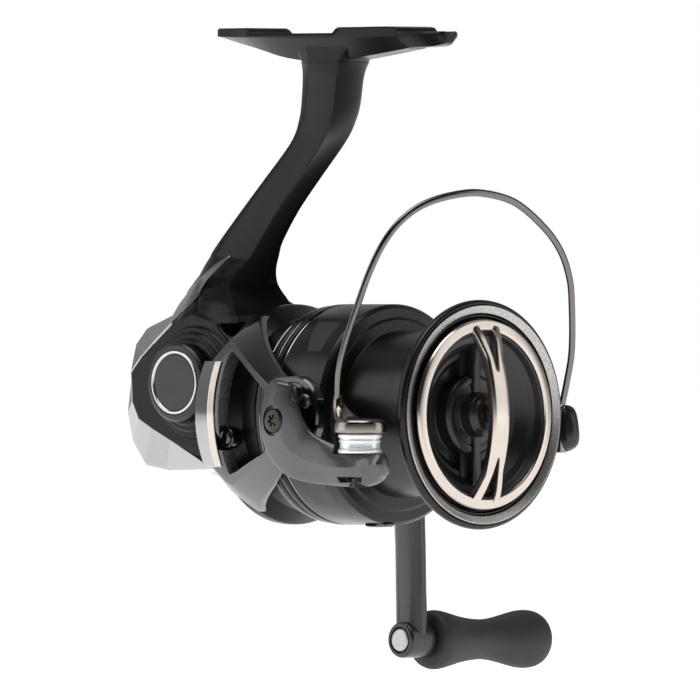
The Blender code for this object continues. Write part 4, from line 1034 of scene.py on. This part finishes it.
def make_drag():
    knob = lathe(
        "drag_knob_dish",
        [(72.9, 0), (72.9, 1.4), (72.5, 2.2), (72.5, 3.2), (71.9, 3.7), (71.5, 4.5), (68.9, 4.8),
         (68.7, 6.4), (68.9, 6.8), (68.9, 7.7), (68.3, 8.4), (65.7, 8.8), (65.7, 10.8),
         (67.2, 12.2), (67.4, 13.2), (69.4, 15.2), (70, 16.5), (71.5, 17.1), (71.6, 17.5),
         (69.2, 17.5), (68.6, 15.7), (64.2, 12), (63.2, 6.6), (58.6, 6.4), (58.6, 4.9),
         (66.6, 4.9), (66.6, 0)],
        "satin", steps=128, soften=0.2, angle=30,
    )
    fit(knob, "drag", "drag_knob")
    ring = lathe(
        "knob_ring_skin",
        [(69.7, 17.55), (69.7, 19.8), (71.3, 19.9), (71.8, 19.6), (72, 17.9), (71.8, 17.55)],
        "champagne", steps=160, soften=0.12,
    )
    fit(ring, "drag", "drag_knob_ring")
    reach = 18.4
    rows = []
    for i in range(17):
        z = -reach + 2 * reach * i / 16
        share = abs(z) / reach
        x = 70.8 + 4.9 * max(cos(pi / 2 * share), 0) ** 0.8
        wide = 2.4 + 1.9 * max(0, share - 0.62) / 0.38
        rows.append((x, 0, z, wide, 1.05))
    grip = bar("knob_bar", rows, 4, "champagne", sides=32, power=5)
    gap = [(-0.3, 9), (0.3, 9), (0.9, 12.5), (2.5, 19.5), (-2.5, 19.5), (-0.9, 12.5)]
    cut(grip, *[prism_x("leg_gap", [(y, up * z) for y, z in gap], 68, 80) for up in (-1, 1)])
    fit(dress(bevelled(grip, 0.15, 2, 40), "champagne", 40), "drag", "drag_knob_ring")
    for half, fore, reach in ((3.1, 67.5, 16.3), (1.1, 69.2, 15.4)):
        outline = softened([(64, -reach), (fore, -reach), (fore, reach), (64, reach)], 1.2, 4)
        web = bevelled(prism(f"drag_web_{int(half)}", outline, -half, half, "satin"), 0.15, 2, 30)
        fit(dress(web, "satin", 35), "drag", "drag_knob")


# ---- handle


def make_handle():
    hub = (0, 0, KNOB.z)
    collar = lathe(
        "handle_collar_skin",
        [(17.6, 4.3), (17.6, 8.7), (18.6, 9.2), (20.4, 9), (21, 8.2), (24.2, 6.4), (24.2, 4.3)],
        "satin", "Y", GEAR_AXIS, soften=0.4,
    )
    fit(collar, "crank", "handle_collar")
    arm = bar(
        "handle_arm_skin",
        [
            (0, 41.4, CRANK_RISE + 3.6, 3.6, 2.4), (0, 41.6, CRANK_RISE, 4.6, 2.9),
            (0, 43.4, -2, 4.2, 2.7), (0, 47.4, -9, 3.9, 2.5), (0, 50, -16, 3.7, 2.4),
            (0, 50.8, -26, 3.7, 2.2), (0, 51.1, -38, 3.7, 2.2), (0, 51.4, KNOB.z + 1, 3.6, 2.6),
        ],
        7, "handle", (1, 0, 0), 32, 2.5,
    )
    root = lathe(
        "handle_root",
        [(24.6, 0), (24.6, 5), (25.2, 5.4), (30, 4.8), (38, 5.2), (43, 4.6), (43.8, 3.6),
         (44, 0)],
        "handle", "Y", GEAR_AXIS, soften=0.8,
    )
    cut(root, rod("shank_hole", 24, 30.4, 2.8, None, "Y", GEAR_AXIS))
    end = lathe(
        "handle_hub",
        [(47.6, 2.75), (47.6, 3.4), (48.1, 3.8), (54.7, 3.8), (55.2, 3.4), (55.2, 2), (48.7, 2),
         (48.7, 2.75)],
        "handle", "Y", hub, soften=0.25,
    )
    cut(arm, rod("hub_room", 44, 58, 3.3, None, "Y", hub))
    for piece in (arm, root, end):
        fit(piece, "crank", "handle_arm")
    disc = lathe(
        "knob_pin_disc",
        [(47.55, 0), (47.45, 1.9), (47.6, 2.4), (48.3, 2.4), (48.3, 0)],
        "disc", "Y", hub, soften=0.2,
    )
    fit(disc, "crank", "knob_pin_cap")
    knob = lathe(
        "handle_grip",
        [(55.6, 2), (55.6, 5.2), (56.1, 5.9), (57.4, 6.3), (58.8, 6.25), (61, 5.8), (64, 5.1),
         (67, 4.6), (70, 4.3), (72.5, 4.25), (75, 4.5), (78, 5.05), (81, 5.7), (83.2, 6.1),
         (85, 6.2), (86.8, 6.05), (88.2, 5.5), (89, 4.7), (89.3, 3.4), (88.4, 3.1), (85.8, 3),
         (85.8, 2)],
        "rubber", "Y", hub, soften=0.9, angle=60,
    )
    fit(knob, "knob", "handle_knob")
    cap = lathe(
        "grip_end_cap",
        [(88.5, 0), (88.5, 2.85), (89.4, 2.9), (90.2, 2.2), (90.7, 0)],
        "rubber", "Y", hub, soften=0.5,
    )
    fit(cap, "knob", "knob_end_cap")


# ---- carried-over CAD nodes

CARRIED = {
    "steel": ["drive_bearing_right", "drive_bearing_left", "pinion_bearing", "clutch_sleeve",
              "rotor_nut", "main_shaft", "guide_rod", "worm_shaft", "handle_shank", "knob_pin",
              "drag_metal_washer_1", "drag_metal_washer_2", "drag_retainer"],
    "satin": ["roller_screw"],
    "brass": ["drive_gear", "pinion_gear", "worm_pawl", "drag_nut"],
    "zinc": ["anti_reverse_clutch", "slider_block", "worm_gear"],
    "felt": ["drag_felt_washer_1", "drag_felt_washer_2", "drag_felt_washer_3", "roller_bushing"],
}


def paint_carried():
    for finish, names in CARRIED.items():
        for name in names:
            mesh = frame["nodes"][name].data
            mesh.materials.clear()
            mesh.materials.append(FINISH[finish])


# ---- studio


VIEW_AZIMUTH = 44.5
ROOM_DIM, ROOM_BRIGHT = 0.015, 0.40
CENTRE = (HOME + Vector((16, 16, 13.4))) * MM


def facing(azimuth, elevation):
    """The unit vector from the middle toward a viewer or lamp at these angles, in degrees."""
    a, e = radians(azimuth), radians(elevation)
    return Vector((sin(a) * cos(e), -cos(a) * cos(e), sin(e)))


def aimed(obj, place, toward):
    """A lamp or camera put at a place and turned toward this direction."""
    obj.location = place
    obj.rotation_mode = "QUATERNION"
    obj.rotation_quaternion = toward.to_track_quat("-Z", "Y")
    return obj


def softbox(name, azimuth, elevation, distance, wide, tall, power):
    light = bpy.data.lights.new(name, "AREA")
    light.shape = "RECTANGLE"
    light.size, light.size_y, light.energy = wide, tall, power
    back = facing(azimuth, elevation)
    return aimed(added(name, light), CENTRE + back * distance, -back)


def make_world():
    """White behind the object, and a dim room whose far wall glows in the object's gloss."""
    world = bpy.data.worlds.new("studio")
    bpy.context.scene.world = world
    world.use_nodes = True
    nodes, links = tree_of(world)
    room = nodes["Background"]
    room.inputs["Color"].default_value = (1, 1, 1, 1)
    white = add_node(world, "Background", Color=(1, 1, 1, 1), Strength=1)
    coords = add_node(world, "TexCoord")
    along = add_node(world, "VectorMath")
    along.operation = "DOT_PRODUCT"
    along.inputs[1].default_value = -facing(VIEW_AZIMUTH, 0)
    links.new(coords.outputs["Generated"], along.inputs[0])
    glow = add_node(
        world, "MapRange", From_Min=0.1, From_Max=0.8, To_Min=ROOM_DIM, To_Max=ROOM_BRIGHT
    )
    links.new(along.outputs["Value"], glow.inputs["Value"])
    links.new(glow.outputs["Result"], room.inputs["Strength"])
    paths = add_node(world, "LightPath")
    mix = add_node(world, "MixShader")
    links.new(paths.outputs["Is Camera Ray"], mix.inputs["Fac"])
    links.new(room.outputs["Background"], mix.inputs[1])
    links.new(white.outputs["Background"], mix.inputs[2])
    links.new(mix.outputs["Shader"], nodes["World Output"].inputs["Surface"])


def make_studio():
    floor_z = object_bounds()[0].z
    reach = 30.0
    mesh = bpy.data.meshes.new("floor")
    corners = [(x * reach, y * reach, floor_z) for x, y in ((-1, -1), (1, -1), (1, 1), (-1, 1))]
    mesh.from_pydata(corners, [], [(0, 1, 2, 3)])
    floor = added("floor", mesh)
    paper = surface("floor_white", (0.82, 0.82, 0.82), 0, 0.8, mottle=0.01, grain=20)
    sockets = paper.node_tree.nodes["Principled BSDF"].inputs
    sockets["Emission Color"].default_value = (1, 1, 1, 1)
    sockets["Emission Strength"].default_value = 0.97
    sockets["Specular IOR Level"].default_value = 0.0
    mesh.materials.append(paper)
    make_world()
    softbox("key", -42, 12, 1, 0.75, 1.1, 4.2)
    softbox("top", 20, 78, 0.9, 0.9, 0.6, 5.5)
    softbox("front", 131, 12, 1.1, 0.55, 0.9, 2.1)


def make_camera():
    view_width, distance = 0.147, 7.0
    camera = bpy.data.cameras.new("camera")
    camera.sensor_width = 36.0
    camera.lens = 36.0 * distance / view_width
    camera.clip_end = 100.0
    back = facing(VIEW_AZIMUTH, 0)
    right = facing(VIEW_AZIMUTH + 90, 0)
    aim = (HOME + right * 22.9 + Vector((0, 0, 13.5))) * MM
    place = aim + back * distance
    bpy.context.scene.camera = aimed(added("camera", camera), place, -back)
    bpy.context.scene.view_settings.view_transform = "Standard"


make_body()
make_guard()
make_side_cover()
make_cap()
make_rotor()
make_bail()
make_spool()
make_drag()
make_handle()
paint_carried()
make_studio()
make_camera()
